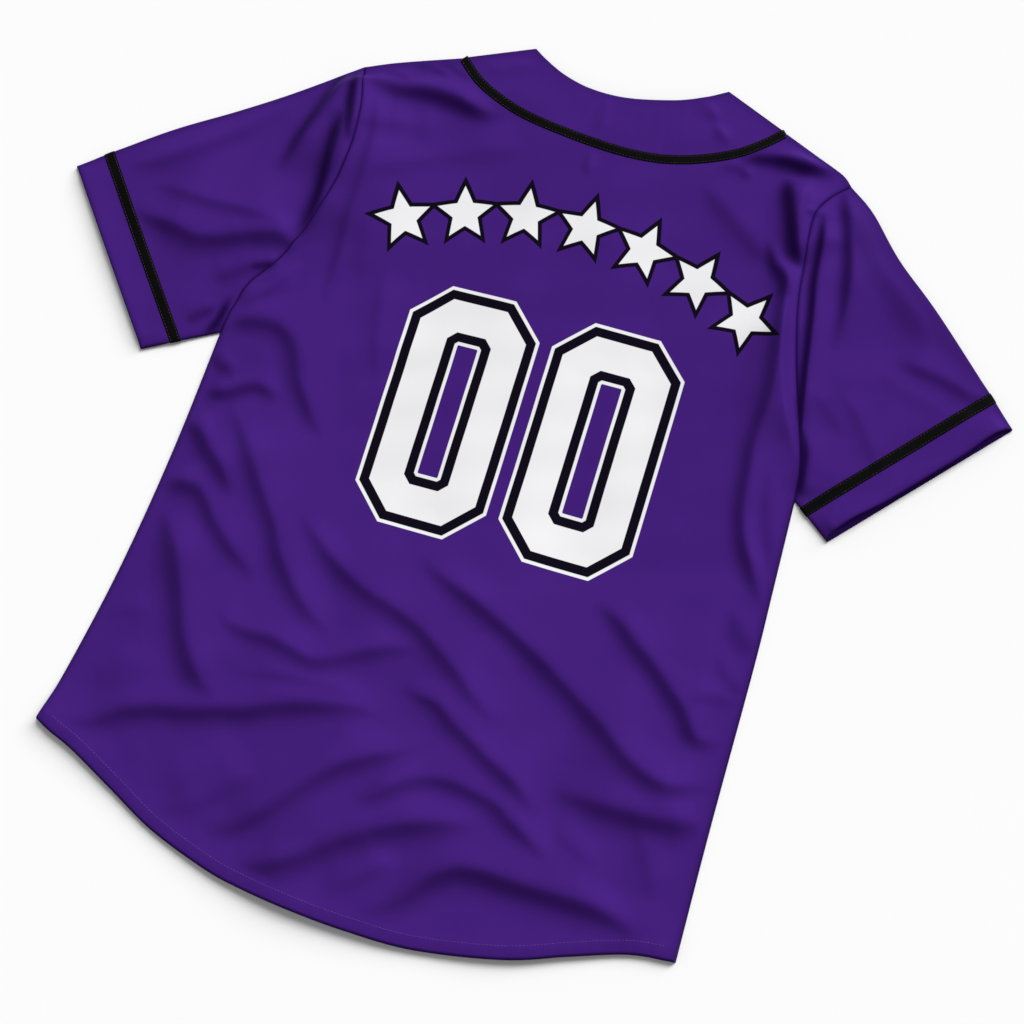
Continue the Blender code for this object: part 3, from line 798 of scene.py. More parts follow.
def tube_shell(name: str, outer: Array, inner: Array, grain: Array,
               rim: float = CLOTH_RIM, edge_line: Array | None = None) -> Object:
    """A closed wall between an outer and an inner tube, with rounded rims at its two ends.

    Args:
        name: The piece's name.
        outer: Rows of closed loops of points.
        inner: The same loops, one wall further in.
        grain: Each point's place along and across the cloth.
        rim: How far the middle of each rim stands out.
        edge_line: How much painted shade each point gets at a folded edge, a seam or doubled
            cloth, for the finish.

    Returns:
        The piece.
    """
    rows, count = outer.shape[:2]
    rims = []
    for last, before in ((0, 1), (-1, -2)):
        out = outer[last] - outer[before]
        out /= np.linalg.norm(out, axis=1)[:, None]
        rims.append((outer[last] + inner[last]) / 2 + out * rim)
    rings = np.concatenate((rims[0][None], outer, rims[1][None], inner[::-1], rims[0][None]))
    numbers = np.arange((2 * rows + 2) * count).reshape(-1, count)
    numbers = np.vstack((numbers, numbers[:1]))
    numbers = np.hstack((numbers, numbers[:, :1]))
    places = np.concatenate((grain[:1], grain, grain[-1:], grain[::-1]))
    # Painted shade at edges, seams and doubled cloth, the same on both layers and the rims.
    line = np.zeros((rows, count)) if edge_line is None else edge_line
    marks = {"edge_line": np.concatenate((line[:1], line, line[-1:], line[::-1])).ravel()}
    made = add_mesh(name, rings[:-1].reshape(-1, 3), quads(numbers).tolist(),
                    places.reshape(-1, 2), marks)
    if signed_volume(made.data) < 0:
        made.data.flip_normals()
    return made


def signed_volume(mesh: bpy.types.Mesh) -> float:
    """The volume inside a mesh, below zero if its faces point inwards."""
    mesh.calc_loop_triangles()
    points = np.empty(len(mesh.vertices) * 3, np.float32)
    mesh.vertices.foreach_get("co", points)
    corners = np.empty(len(mesh.loop_triangles) * 3, np.int32)
    mesh.loop_triangles.foreach_get("vertices", corners)
    a, b, c = points.reshape(-1, 3)[corners.reshape(-1, 3)].transpose(1, 0, 2).astype(float)
    return float(np.einsum("ij,ij->i", a, np.cross(b, c)).sum() / 6)


def flat_area(plan: Array) -> float:
    """The area of a grid of places in the plane."""
    first, second = plan[1:, 1:] - plan[:-1, :-1], plan[1:, :-1] - plan[:-1, 1:]
    return float(np.abs(first[..., 0] * second[..., 1] - first[..., 1] * second[..., 0]).sum() / 2)


def span(plan: Array) -> tuple[float, float]:
    """The width and length of a grid of places."""
    extent = plan.reshape(-1, 2).max(axis=0) - plan.reshape(-1, 2).min(axis=0)
    return float(extent[0]), float(extent[1])


def lift(plan: Array, height: Array) -> Array:
    """A grid of places with their heights."""
    return np.dstack((plan, height.reshape(plan.shape[:2])))


# Shader maths ------------------------------------------------------------------------------------

class Amount:
    """A number that varies over a surface, held by a socket. Sums on it add Math nodes."""

    def __init__(self, finish: "NodeBench", socket: Socket) -> None:
        """Wraps a socket of a finish's tree."""
        self.finish = finish
        self.socket = socket

    def math(self, operation: str, *others: "Amount | float", first: float | None = None) -> "Amount":
        """Adds a Math node that takes this number.

        Args:
            operation: The node's operation.
            others: The numbers after this one.
            first: A plain number that goes before this one.

        Returns:
            The result.
        """
        values = [self, *others] if first is None else [first, self, *others]
        node = self.finish.node("ShaderNodeMath", {"operation": operation}, dict(enumerate(values)))
        return Amount(self.finish, node.outputs[0])

    def __rsub__(self, other: float) -> "Amount":
        """A plain number less this."""
        return self.math("SUBTRACT", first=other)

    __add__ = __radd__ = partialmethod(math, "ADD")
    __mul__ = __rmul__ = partialmethod(math, "MULTIPLY")
    __sub__ = partialmethod(math, "SUBTRACT")
    __truediv__ = partialmethod(math, "DIVIDE")
    __neg__ = partialmethod(math, "MULTIPLY", -1.0)
    __abs__ = partialmethod(math, "ABSOLUTE")
    at_least = partialmethod(math, "MAXIMUM")
    at_most = partialmethod(math, "MINIMUM")
    sine = partialmethod(math, "SINE")
    cosine = partialmethod(math, "COSINE")
    root = partialmethod(math, "SQRT")

    def below(self, limit: float, blur: float) -> "Amount":
        """1 well under a limit, 0 well over it, with a soft edge as wide as the blur."""
        limits = {"From Min": limit - blur / 2, "From Max": limit + blur / 2}
        node = self.finish.node("ShaderNodeMapRange", {"interpolation_type": "SMOOTHSTEP"},
                                {"Value": self, **limits, "To Min": 1.0, "To Max": 0.0})
        return Amount(self.finish, node.outputs["Result"])

    def between(self, low: float, high: float, blur: float) -> "Amount":
        """1 between two limits, 0 outside them."""
        return self.below(high, blur) - self.below(low, blur)


def feed(tree: bpy.types.NodeTree, socket: Socket, value: Any) -> None:
    """Links a socket, or gives it a plain value."""
    source = value.socket if isinstance(value, Amount) else value
    if isinstance(source, Socket):
        tree.links.new(source, socket)
    else:
        socket.default_value = source


def add_node(tree: bpy.types.NodeTree, kind: str, settings: dict[str, Any] | None = None,
             inputs: dict[str | int, Any] | None = None) -> bpy.types.Node:
    """Adds a node to a tree.

    Args:
        tree: The tree.
        kind: The node's type.
        settings: Its properties, which are set first.
        inputs: The values or links of its sockets, by name or number.

    Returns:
        The node.
    """
    made = tree.nodes.new(kind)
    for name, value in (settings or {}).items():
        setattr(made, name, value)
    for name, value in (inputs or {}).items():
        feed(tree, made.inputs[name], value)
    return made


class NodeBench:
    """One material's node tree, with a Principled shader at its end."""

    def __init__(self, name: str, roughness: float = 0.5, **constants: Any) -> None:
        """Starts a material.

        Args:
            name: The material's name.
            roughness: Its roughness where nothing feeds it.
            constants: Other values that are the same all over, by socket name with _ for spaces.
        """
        self.material = bpy.data.materials.new(name)
        self.material.use_nodes = True
        self.tree = self.material.node_tree
        self.node = partial(add_node, self.tree)
        self.shader = self.tree.nodes["Principled BSDF"]
        self.shader.inputs["Roughness"].default_value = roughness
        for socket, value in constants.items():
            self.shader.inputs[socket.replace("_", " ")].default_value = value

    def coordinates(self) -> Socket:
        """The object's coordinates."""
        return self.node("ShaderNodeTexCoord").outputs["Object"]

    def grain(self) -> tuple[Amount, Amount]:
        """Millimetres along and across the cloth, from the piece's UV map."""
        return self.plane(self.node("ShaderNodeUVMap", {"uv_map": "grain"}).outputs["UV"])

    def plane(self, vector: Socket) -> tuple[Amount, Amount]:
        """A vector's X and Y, in millimetres."""
        split = self.node("ShaderNodeSeparateXYZ", inputs={0: vector})
        return Amount(self, split.outputs["X"]) / MM, Amount(self, split.outputs["Y"]) / MM

    def mark(self, name: str) -> Amount:
        """A number that the mesh holds for each point."""
        return Amount(self, self.node("ShaderNodeAttribute", {"attribute_name": name}).outputs["Fac"])

    def noise(self, vector: Socket, size: float, detail: float = 3.0) -> Amount:
        """Noise from 0 to 1 whose patches have a size in metres."""
        node = self.node("ShaderNodeTexNoise",
                         inputs={"Vector": vector, "Scale": 1.0 / size, "Detail": detail})
        return Amount(self, node.outputs["Fac"])

    def mix(self, share: Amount | float, first: Any, second: Any) -> Socket:
        """A colour between two colours."""
        node = self.node("ShaderNodeMix", {"data_type": "RGBA"}, {0: share, 6: first, 7: second})
        return node.outputs[2]

    def finish(self, color: Any, roughness: Amount | float, height: Amount | None = None,
               relief: float = 0.0001, strength: float = 1.0) -> Material:
        """Feeds the shader and ends the material.

        Args:
            color: The base colour.
            roughness: The roughness.
            height: Relief, from 0 to 1.
            relief: The depth in metres that a height of 1 stands for.
            strength: The share of the relief that shows.

        Returns:
            The material.
        """
        feed(self.tree, self.shader.inputs["Base Color"], color)
        feed(self.tree, self.shader.inputs["Roughness"], roughness)
        if height is not None:
            bump = self.node("ShaderNodeBump",
                             inputs={"Strength": strength, "Distance": relief, "Height": height})
            self.tree.links.new(bump.outputs["Normal"], self.shader.inputs["Normal"])
        return self.material


# Finishes ----------------------------------------------------------------------------------------

Color = tuple[float, float, float, float]
TURN = 2 * math.pi


def ripple(place: Amount, pitch: float) -> Amount:
    """Waves of a pitch along a place, from 0 to 1."""
    return (place * (TURN / pitch)).sine() * 0.5 + 0.5


@dataclass(frozen=True)
class KnitSatin:
    """Purple polyester knit with a satin face."""

    name: str = "purple_knit"
    color: Color = (0.0478, 0.0124, 0.1595, 1.0)
    deeper: Color = (0.0412, 0.0104, 0.1425, 1.0)
    gloss: Color = (0.26, 0.06, 0.90, 1.0)
    # Painted shade: its colour, and how far the deepest painted shade goes towards it.
    edge: Color = (0.009, 0.0016, 0.036, 1.0)
    painted_shade_depth: float = 0.88
    patch: float = 0.035
    roughness: float = 0.44
    unevenness: float = 0.08
    uneven_patch: float = 0.012
    loop_width: float = 0.90
    loop_height: float = 0.75
    loop_slant: float = 1.2
    column_part: float = 0.3
    course_part: float = 0.2
    relief: float = 0.00006
    relief_strength: float = 0.5

    def bench(self) -> NodeBench:
        """The material with its plain values."""
        return NodeBench(self.name, self.roughness, Specular_IOR_Level=0.03, Specular_Tint=self.gloss,
                         Sheen_Weight=0.010, Sheen_Roughness=0.4, Sheen_Tint=self.gloss)

    def loops(self, bench: NodeBench) -> Amount:
        """The knit's loops: columns of small slanting ovals."""
        along, across = bench.grain()
        columns = (along * (TURN / self.loop_width)).sine()
        courses = (across * (TURN / self.loop_height) + columns * self.loop_slant).sine()
        return (columns * self.column_part + courses * self.course_part) + 0.5

    def cloth(self, bench: NodeBench, vector: Socket) -> Socket:
        """The knit's colour, a little uneven, and painted shade at seams, folded edges and doubled
        cloth.
        """
        plain = bench.mix(bench.noise(vector, self.patch, 4.0), self.deeper, self.color)
        return bench.mix(bench.mark("edge_line") * self.painted_shade_depth, plain, self.edge)

    def sheen(self, bench: NodeBench, vector: Socket) -> Amount:
        """The knit's roughness, a little uneven."""
        uneven = bench.noise(vector, self.uneven_patch) * self.unevenness
        return uneven + (self.roughness - self.unevenness / 2)

    def material(self) -> Material:
        """The finished material."""
        bench = self.bench()
        vector = bench.coordinates()
        return bench.finish(self.cloth(bench, vector), self.sheen(bench, vector), self.loops(bench),
                            relief=self.relief, strength=self.relief_strength)


@dataclass(frozen=True)
class StarArc:
    """A row of five-pointed stars along an arc, in millimetres."""

    centre: tuple[float, float] = (29.0, -102.0)
    radius: float = 342.0
    count: int = 7
    step: float = math.radians(9.1)
    tip: float = 25.0
    waist: float = 0.46
    sunk: float = 0.1
    outline: float = 3.6

    def depth(self, x: Amount, y: Amount) -> Amount:
        """How far a place lies outside the nearest star, below zero inside it."""
        right, up = x - self.centre[0], y - self.centre[1]
        reach = (right * right + up * up).root()
        heading = right.math("ARCTAN2", up)
        last = (self.count - 1) / 2
        cell = (heading / self.step).math("ROUND").at_least(-last).at_most(last)
        aside = (heading - cell * self.step) * self.radius
        out = reach - self.radius + self.tip * self.sunk
        away = (aside * aside + out * out).root()
        point = TURN / 5
        turned = aside.math("ARCTAN2", out) + point / 2
        folded = abs(turned.math("FLOORED_MODULO", point) - point / 2)
        waist = self.waist * self.tip
        normal = np.array((self.tip - waist * math.cos(point / 2), waist * math.sin(point / 2)))
        normal /= np.linalg.norm(normal)
        side, ahead = away * folded.sine(), away * folded.cosine()
        return side * float(normal[0]) + (ahead - self.tip) * float(normal[1])


@dataclass(frozen=True)
class BlockNoughts:
    """Two plain block noughts with cut corners, in millimetres."""

    centre: tuple[float, float] = (32.0, 50.0)
    turned: float = math.radians(2.0)
    pitch: float = 129.0
    half: tuple[float, float] = (59.0, 108.5)
    cut: float = 30.0
    line: float = 3.0
    band: float = 8.0
    stroke: float = 50.0

    def depth(self, x: Amount, y: Amount) -> Amount:
        """How far a place lies inside the outer edge of the nearer nought."""
        right, up = x - self.centre[0], y - self.centre[1]
        c, s = math.cos(self.turned), math.sin(self.turned)
        across = abs(abs(right * c + up * s) - self.pitch / 2)
        along = abs(up * c - right * s)
        corner = (across + along - (sum(self.half) - self.cut)) / math.sqrt(2)
        return -(across - self.half[0]).at_least(along - self.half[1]).at_least(corner)


@dataclass(frozen=True)
class PrintedKnit(KnitSatin):
    """The knit with a print on its outer face: an arc of stars over two block noughts."""

    name: str = "purple_knit_printed"
    white: Color = (0.69, 0.69, 0.70, 1.0)
    black: Color = (0.004, 0.003, 0.006, 1.0)
    blur: float = 0.5
    ink: float = 0.55
    ink_level: float = 0.8
    ink_fills: float = 0.7
    stars: StarArc = StarArc()
    noughts: BlockNoughts = BlockNoughts()

    def material(self) -> Material:
        """The finished material."""
        bench = self.bench()
        vector = bench.coordinates()
        x, y = bench.plane(vector)
        star = self.stars.depth(x, y)
        noughts = self.noughts
        depth = noughts.depth(x, y)
        star_white = star.below(0.0, self.blur)
        star_ink = star.below(self.stars.outline, self.blur)
        printed = depth.between(0.0, noughts.stroke, self.blur)
        inner = noughts.stroke - noughts.line
        dark = (depth.between(noughts.line, noughts.line + noughts.band, self.blur)
                + depth.between(inner - noughts.band, inner, self.blur))
        ink = star_ink.at_least(printed) * bench.mark("outer_face")
        white = star_white.at_least(printed - dark)
        color = bench.mix(ink, self.cloth(bench, vector), bench.mix(white, self.black, self.white))
        rough = self.sheen(bench, vector) + ink * (self.ink - self.roughness)
        height = self.loops(bench) * (1 - ink * self.ink_fills) + ink * self.ink_level
        return bench.finish(color, rough, height, relief=self.relief, strength=self.relief_strength)


@dataclass(frozen=True)
class Webbing:
    """Black woven tape with fine ribs across it and firmer edges."""

    name: str
    width: float
    color: Color = (0.0020, 0.0017, 0.0019, 1.0)
    # A paler tone painted in random patches on the ribs' crests, as their sheen.
    painted_sheen: Color = (0.0036, 0.0031, 0.0033, 1.0)
    rib: float = 0.75
    thread: float = 0.5
    selvedge: float = 0.9
    selvedge_blur: float = 0.3
    parts: tuple[float, float, float] = (0.5, 0.25, 0.15)
    patch: float = 0.006
    roughness: float = 0.55
    unevenness: float = 0.15
    uneven_patch: float = 0.010

    def material(self) -> Material:
        """The finished material: ribs inside the edges, fine threads all over, and plain edges."""
        bench = NodeBench(self.name, roughness=0.6, Specular_IOR_Level=0.03)
        along, across = bench.grain()
        vector = bench.coordinates()
        ribs, threads = ripple(along, self.rib), ripple(across, self.thread)
        inside = abs(across).below(self.width / MM / 2 - self.selvedge, self.selvedge_blur)
        rib, thread, plain = self.parts
        height = ribs * rib * inside + threads * thread + (1 - inside) * plain
        # Painted sheen: the paler tone in random patches on the ribs' crests.
        color = bench.mix(bench.noise(vector, self.patch) * ribs, self.color, self.painted_sheen)
        rough = bench.noise(vector, self.uneven_patch) * self.unevenness + self.roughness
        return bench.finish(color, rough, height, relief=0.00006, strength=0.4)


@dataclass(frozen=True)
class Thread:
    """Twisted polyester sewing thread."""

    name: str
    color: Color
    # The colour of the painted shade in the twist's grooves.
    groove_shade: Color
    patch: float = 0.02
    lay: float = 0.35
    roughness: float = 0.40
    unevenness: float = 0.1

    def material(self) -> Material:
        """The finished material."""
        bench = NodeBench(self.name, Sheen_Weight=0.02)
        vector = bench.coordinates()
        x, y = bench.plane(vector)
        twist = ripple(x + y, self.lay)
        # Painted shade in the twist's grooves, spread further in random patches.
        color = bench.mix(twist * bench.noise(vector, self.patch), self.groove_shade, self.color)
        rough = self.roughness + self.unevenness * twist
        return bench.finish(color, rough, twist, relief=0.00004, strength=0.6)


PURPLE_THREAD = Thread("purple_thread", (0.150, 0.065, 0.330, 1.0), (0.065, 0.022, 0.180, 1.0))
BLACK_THREAD = Thread("black_thread", (0.0045, 0.0040, 0.0042, 1.0), (0.0020, 0.0018, 0.0020, 1.0))


@dataclass(frozen=True)
class ButtonResin:
    """Glossy dark polyester resin with faint swirls."""

    name: str = "dark_button"
    color: Color = (0.020, 0.008, 0.050, 1.0)
    swirl: Color = (0.045, 0.020, 0.100, 1.0)
    swirls: float = 14.0
    patch: float = 0.005
    fine_patch: float = 0.0012
    roughness: float = 0.18
    unevenness: float = 0.12

    def material(self) -> Material:
        """The finished material."""
        bench = NodeBench(self.name, roughness=0.22, Coat_Weight=0.4, Coat_Roughness=0.1)
        vector = bench.coordinates()
        swirl = (bench.noise(vector, self.patch, 5.0) * self.swirls).sine() * 0.5 + 0.5
        fine = bench.noise(vector, self.fine_patch)
        rough = self.roughness + self.unevenness * fine
        return bench.finish(bench.mix(swirl, self.color, self.swirl), rough, fine,
                            relief=0.00002, strength=0.4)


@dataclass(frozen=True)
class StudioFloor:
    """A plain white sweep."""

    name: str = "studio_floor"
    color: Color = (0.797, 0.797, 0.797, 1.0)
    paler: Color = (0.807, 0.807, 0.807, 1.0)
    patch: float = 0.4
    roughness: float = 0.9

    def material(self) -> Material:
        """The finished material."""
        bench = NodeBench(self.name, self.roughness, Specular_IOR_Level=0.1)
        vector = bench.coordinates()
        color = bench.mix(bench.noise(vector, self.patch), self.color, self.paler)
        return bench.finish(color, self.roughness)


# Stitches ----------------------------------------------------------------------------------------

@dataclass
class Stitching:
    """Rows of short stitches along paths, placed by a node tree."""

    pitch: float = 0.0030
    length: float = 0.0023
    thickness: float = 0.00045
    sizes: tuple[float, float] = (0.88, 1.08)
    seed: int = 11
    tree: bpy.types.NodeTree | None = field(default=None, init=False)
    inputs: dict[str, str] = field(default_factory=dict, init=False)

    def socket(self, name: str, kind: str) -> None:
        """Adds a named input to the tree and keeps its identifier."""
        made = self.tree.interface.new_socket(name=name, in_out="INPUT", socket_type=kind)
        self.inputs[name] = made.identifier

    def build_tree(self) -> None:
        """Builds the tree: paths become points, and each point holds one stitch."""
        tree = self.tree = bpy.data.node_groups.new("stitch_rows", "GeometryNodeTree")
        self.socket("Paths", "NodeSocketGeometry")
        for name in ("Pitch", "Length", "Thickness"):
            self.socket(name, "NodeSocketFloat")
        self.socket("Seed", "NodeSocketInt")
        self.socket("Thread", "NodeSocketMaterial")
        tree.interface.new_socket(name="Stitches", in_out="OUTPUT", socket_type="NodeSocketGeometry")
        add = partial(add_node, tree)
        given = add("NodeGroupInput").outputs
        curve = add("GeometryNodeMeshToCurve", inputs={"Mesh": given["Paths"]})
        spots = add("GeometryNodeCurveToPoints", {"mode": "LENGTH"},
                    {"Curve": curve.outputs["Curve"], "Length": given["Pitch"]})
        half = add("ShaderNodeMath", {"operation": "MULTIPLY"}, {0: given["Length"], 1: 0.5})
        size = add("ShaderNodeCombineXYZ", inputs={"X": given["Thickness"], "Y": given["Thickness"],
                                                   "Z": half.outputs[0]})
        ball = add("GeometryNodeMeshUVSphere", inputs={"Segments": 6, "Rings": 4, "Radius": 1.0})
        shaped = add("GeometryNodeTransform",
                     inputs={"Geometry": ball.outputs["Mesh"], "Scale": size.outputs[0]})
        least, most = self.sizes
        jitter = add("FunctionNodeRandomValue", {"data_type": "FLOAT"},
                     {"Seed": given["Seed"], 2: least, 3: most})
        placed = add("GeometryNodeInstanceOnPoints", inputs={
            "Points": spots.outputs["Points"], "Instance": shaped.outputs["Geometry"],
            "Rotation": spots.outputs["Rotation"], "Scale": jitter.outputs[1]})
        real = add("GeometryNodeRealizeInstances", inputs={"Geometry": placed.outputs["Instances"]})
        dressed = add("GeometryNodeSetMaterial", inputs={"Geometry": real.outputs["Geometry"],
                                                         "Material": given["Thread"]})
        add("NodeGroupOutput", inputs={"Stitches": dressed.outputs["Geometry"]})

    def sew(self, name: str, paths: Sequence[Array], thread: Material) -> Object:
        """Sews rows of stitches as one plain mesh.

        Args:
            name: The piece's name.
            paths: The rows, each an array of points.
            thread: The thread's material.

        Returns:
            The piece.
        """
        if self.tree is None:
            self.build_tree()
        starts = np.cumsum([0] + [len(path) for path in paths[:-1]]).tolist()
        edges = [(start + i, start + i + 1)
                 for start, path in zip(starts, paths) for i in range(len(path) - 1)]
        guide = bpy.data.meshes.new(name + "_path")
        guide.from_pydata(np.vstack(paths).tolist(), edges, [])
        holder = linked(name + "_path", guide)
        rows = holder.modifiers.new("stitch_rows", "NODES")
        rows.node_group = self.tree
        for key, value in (("Pitch", self.pitch), ("Length", self.length),
                           ("Thickness", self.thickness / 2), ("Seed", self.seed), ("Thread", thread)):
            rows[self.inputs[key]] = value
        graph = bpy.context.evaluated_depsgraph_get()
        mesh = bpy.data.meshes.new_from_object(holder.evaluated_get(graph))
        mesh.name = name
        bpy.data.objects.remove(holder)
        bpy.data.meshes.remove(guide)
        mesh.shade_smooth()
        return linked(name, mesh)


# Sub-assemblies ----------------------------------------------------------------------------------

@dataclass
class Workshop:
    """What every sub-assembly shares: the way the cloth lies, the finishes and the stitching."""

    drape: Drape
    knit: Material
    printed: Material
    purple_thread: Material
    black_thread: Material
    stitching: Stitching

    def dress(self, piece: Object, finish: Material, slot: Slot, *nodes: str) -> None:
        """Gives a piece its material and its body, and hides the nodes that it stands for.

        Args:
            piece: The piece.
            finish: Its material.
            slot: The record's slot for its finish. Not used.
            nodes: The solids that it replaces.
        """
        piece.data.materials.clear()
        piece.data.materials.append(finish)
        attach(piece, BODY)
        if nodes:
            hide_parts(*nodes)
        triangles = sum(len(face.vertices) - 2 for face in piece.data.polygons)
        LOG.info("%s: %d triangles", piece.name, triangles)


@dataclass
class BackPanel:
    """The back: one fine sheet from the shoulders to the shirt-tail hem.

    "side_cells" are the finer rows along its sides, as (first, last, step). "pucker_drift" and
    "hem_roll" make the hem's puckers and its lift uneven along it: each holds a size and waves.
    """

    shop: Workshop
    width: float = 0.56
    length: float = 0.73
    cell: float = 0.0034
    edge_cells: tuple[float, ...] = (0.0005, 0.0011, 0.0018, 0.0030)
    side_cells: tuple[float, float, float] = (0.0052, 0.0600, 0.0023)
    fold_radius: float = 0.0020
    hem_width: float = 0.0120
    hem_cell: float = 0.001
    hem_step: float = 0.00035
    hem_step_width: float = 0.0008
    hem_radius: float = 0.0020
    hem_thinned: float = 0.9
    hem_lift: float = 0.0042
    hem_lift_width: float = 0.028
    hem_roll: tuple[float, float, float] = (0.3, 17.0, 1.0)
    hem_length: float = 0.66
    # The width of the painted shade along the hem's edge.
    hem_shade_width: float = 0.0021
    hem_stitches: tuple[float, float, int] = (0.02, 0.98, 260)
    stitch_inset: float = 0.0008
    seam_dip: float = 0.0014
    seam_width: float = 0.0017
    pucker: float = 0.00016
    pucker_length: float = 0.015
    pucker_width: float = 0.016
    pucker_drift: tuple[float, float] = (2.0, 21.0)
    yoke_line: float = 0.008
    yoke_dip: float = 0.0005
    yoke_width: float = 0.0009

    def plan(self) -> Array:
        """The grid of places that the sheet covers."""
        by_side = (*self.edge_cells, *np.arange(*self.side_cells))
        by_hem = (*self.edge_cells, self.hem_width, self.hem_width + self.hem_cell)
        across = shares(self.width, self.cell, by_side, by_side)
        down = shares(self.length, self.cell, by_side, by_hem)
        left_part = across < SHOULDER_SHARE
        right_part = across > 1 - SHOULDER_SHARE
        seam_part = ~left_part & ~right_part
        top = np.vstack((
            at_shares(shoulder_edge(Side.LEFT), across[left_part] / SHOULDER_SHARE),
            at_shares(neck_seam(), (across[seam_part] - SHOULDER_SHARE) / (1 - 2 * SHOULDER_SHARE)),
            at_shares(shoulder_edge(Side.RIGHT), (1 - across[right_part]) / SHOULDER_SHARE)))
        bottom = at_shares(hem_edge(), across)
        upper = down < ARMHOLE_SHARE
        lower_shares = (down[~upper] - ARMHOLE_SHARE) / (1 - ARMHOLE_SHARE)
        sides = [np.vstack((at_shares(armhole(side), down[upper] / ARMHOLE_SHARE),
                            at_shares(side_edge(side), lower_shares))) for side in Side]
        return coons(top, bottom, *sides, across, down)

    def from_folds(self, points: Array) -> Array:
        """Each place's distance from the nearest folded edge: a side or a shoulder."""
        return nearest(points, [line(side) for side in Side for line in (side_edge, shoulder_edge)])

    def from_seams(self, points: Array) -> Array:
        """Each place's distance from the nearer armhole."""
        return nearest(points, [armhole(side) for side in Side])

    def surfaces(self, plan: Array) -> tuple[Array, Array]:
        """The heights of the sheet's two faces.

        Args:
            plan: The places.

        Returns:
            The upper and the lower heights, on the plan's grid.
        """
        points = plan.reshape(-1, 2)
        under = self.shop.drape.underside(points)
        under = under - self.seam_dip * bell(self.from_seams(points), self.seam_width)
        hem = beside(points, hem_edge())
        drift, turns = self.pucker_drift
        puckers = np.sin(hem.share * 2 * math.pi * self.hem_length / self.pucker_length
                         + drift * np.sin(hem.share * turns))
        under = under + self.pucker * (1.0 + puckers) * bell(hem.distance, self.pucker_width)
        roll, turns, start = self.hem_roll
        rolling = 1.0 + roll * np.sin(hem.share * turns + start)
        under = under + self.hem_lift * rolling * bell(hem.distance, self.hem_lift_width)
        yoke = np.abs(beside(points, shoulder_edge(Side.LEFT)).distance - self.yoke_line)
        over = under + CLOTH - self.yoke_dip * bell(yoke, self.yoke_width)
        single = smooth_step((hem.distance - self.hem_width) / self.hem_step_width)
        over = over + self.hem_step * (1.0 - single)
        over = over - self.hem_thinned * CLOTH * (1.0 - quarter_round(hem.distance, self.hem_radius))
        over, under = folded_under(over, under, self.from_folds(points), self.fold_radius)
        return over.reshape(plan.shape[:2]), under.reshape(plan.shape[:2])

    def edge_line(self, plan: Array) -> Array:
        """How much painted shade each place gets at a folded edge, the hem's edge, a seam or doubled
        cloth.
        """
        points = plan.reshape(-1, 2)
        hem = beside(points, hem_edge()).distance
        # Painted shade along the folded edges and the hem's edge.
        line = np.maximum(painted_turn_shade(self.from_folds(points)), bell(hem, self.hem_shade_width))
        # A thin painted shadow along the armhole seams.
        line = np.maximum(line, bell(self.from_seams(points), SEAM_SHADE_WIDTH))
        return np.maximum(line, self.shop.drape.painted_tuck_shade(points))

    def build(self) -> None:
        shop = self.shop
        plan = self.plan()
        over, under = self.surfaces(plan)
        piece = sheet_shell("back_cloth", lift(plan, over), lift(plan, under), plan,
                            edge_line=self.edge_line(plan))
        shop.dress(piece, shop.printed, Slot.KNIT, "back_panel")
        hem = at_shares(hem_edge(), np.linspace(*self.hem_stitches))
        line = hem + leftward(hem) * (self.hem_width - self.stitch_inset)
        height = self.surfaces(line[None])[0][0]
        stitches = shop.stitching.sew("hem_stitches", [np.column_stack((line, height))],
                                      shop.purple_thread)
        shop.dress(stitches, shop.purple_thread, Slot.KNIT)
        span(plan)
        flat_area(plan)


@dataclass
class NeckBand:
    """The crescent of cloth above the neck tape."""

    shop: Workshop
    width: float = 0.33
    depth: float = 0.058
    cell: float = 0.0028
    edge_cells: tuple[float, ...] = (0.0006, 0.0013, 0.0025)
    fold_radius: float = 0.0020
    wrinkle: float = 0.00006
    wrinkle_waves: tuple[float, float, float] = (71.0, 3.0, 17.0)
    wrinkle_spread: float = 0.4
    wrinkle_margin: float = 0.012

    def plan(self) -> Array:
        """The grid of places that the band covers."""
        across = shares(self.width, self.cell, self.edge_cells, self.edge_cells)
        down = shares(self.depth, self.cell, self.edge_cells, self.edge_cells)
        top = at_shares(neck_edge(), across)
        bottom = at_shares(neck_seam(), across) + np.array((0.0, SEAM_GAP))
        sides = [at_shares(np.stack((top[end], bottom[end])), down) for end in (0, -1)]
        return coons(top, bottom, *sides, across, down)

    def build(self, tape: list[Object]) -> None:
        plan = self.plan()
        points = plan.reshape(-1, 2)
        free = beside(points, neck_edge())
        ends = nearest(points, [np.stack((NECK_TIP.on(side), BAND_END.on(side))) for side in Side])
        waves, drift, turns = self.wrinkle_waves
        pulled = np.sin(free.share * waves + drift * np.sin(free.share * turns))
        pulled = pulled * bell(free.share - 0.5, self.wrinkle_spread)
        inside = smooth_step(free.distance / self.wrinkle_margin)
        under = self.shop.drape.underside(points) + self.wrinkle * (1.0 + pulled) * inside
        folded = np.minimum(free.distance, ends)
        over, under = folded_under(under + CLOTH, under, folded, self.fold_radius)
        piece = sheet_shell("neck_band_cloth", lift(plan, over), lift(plan, under), plan,
                            edge_line=painted_turn_shade(folded))
        self.shop.dress(piece, self.shop.knit, Slot.KNIT, "neck_band")
        span(plan)
        flat_area(plan)


def tape_profile(share: Array) -> Array:
    """A tape's thickness at a share of the way from its middle to its edge, where it is thinner."""
    return 1.0 - TAPE_THINNED * share ** TAPE_THINS_LATE


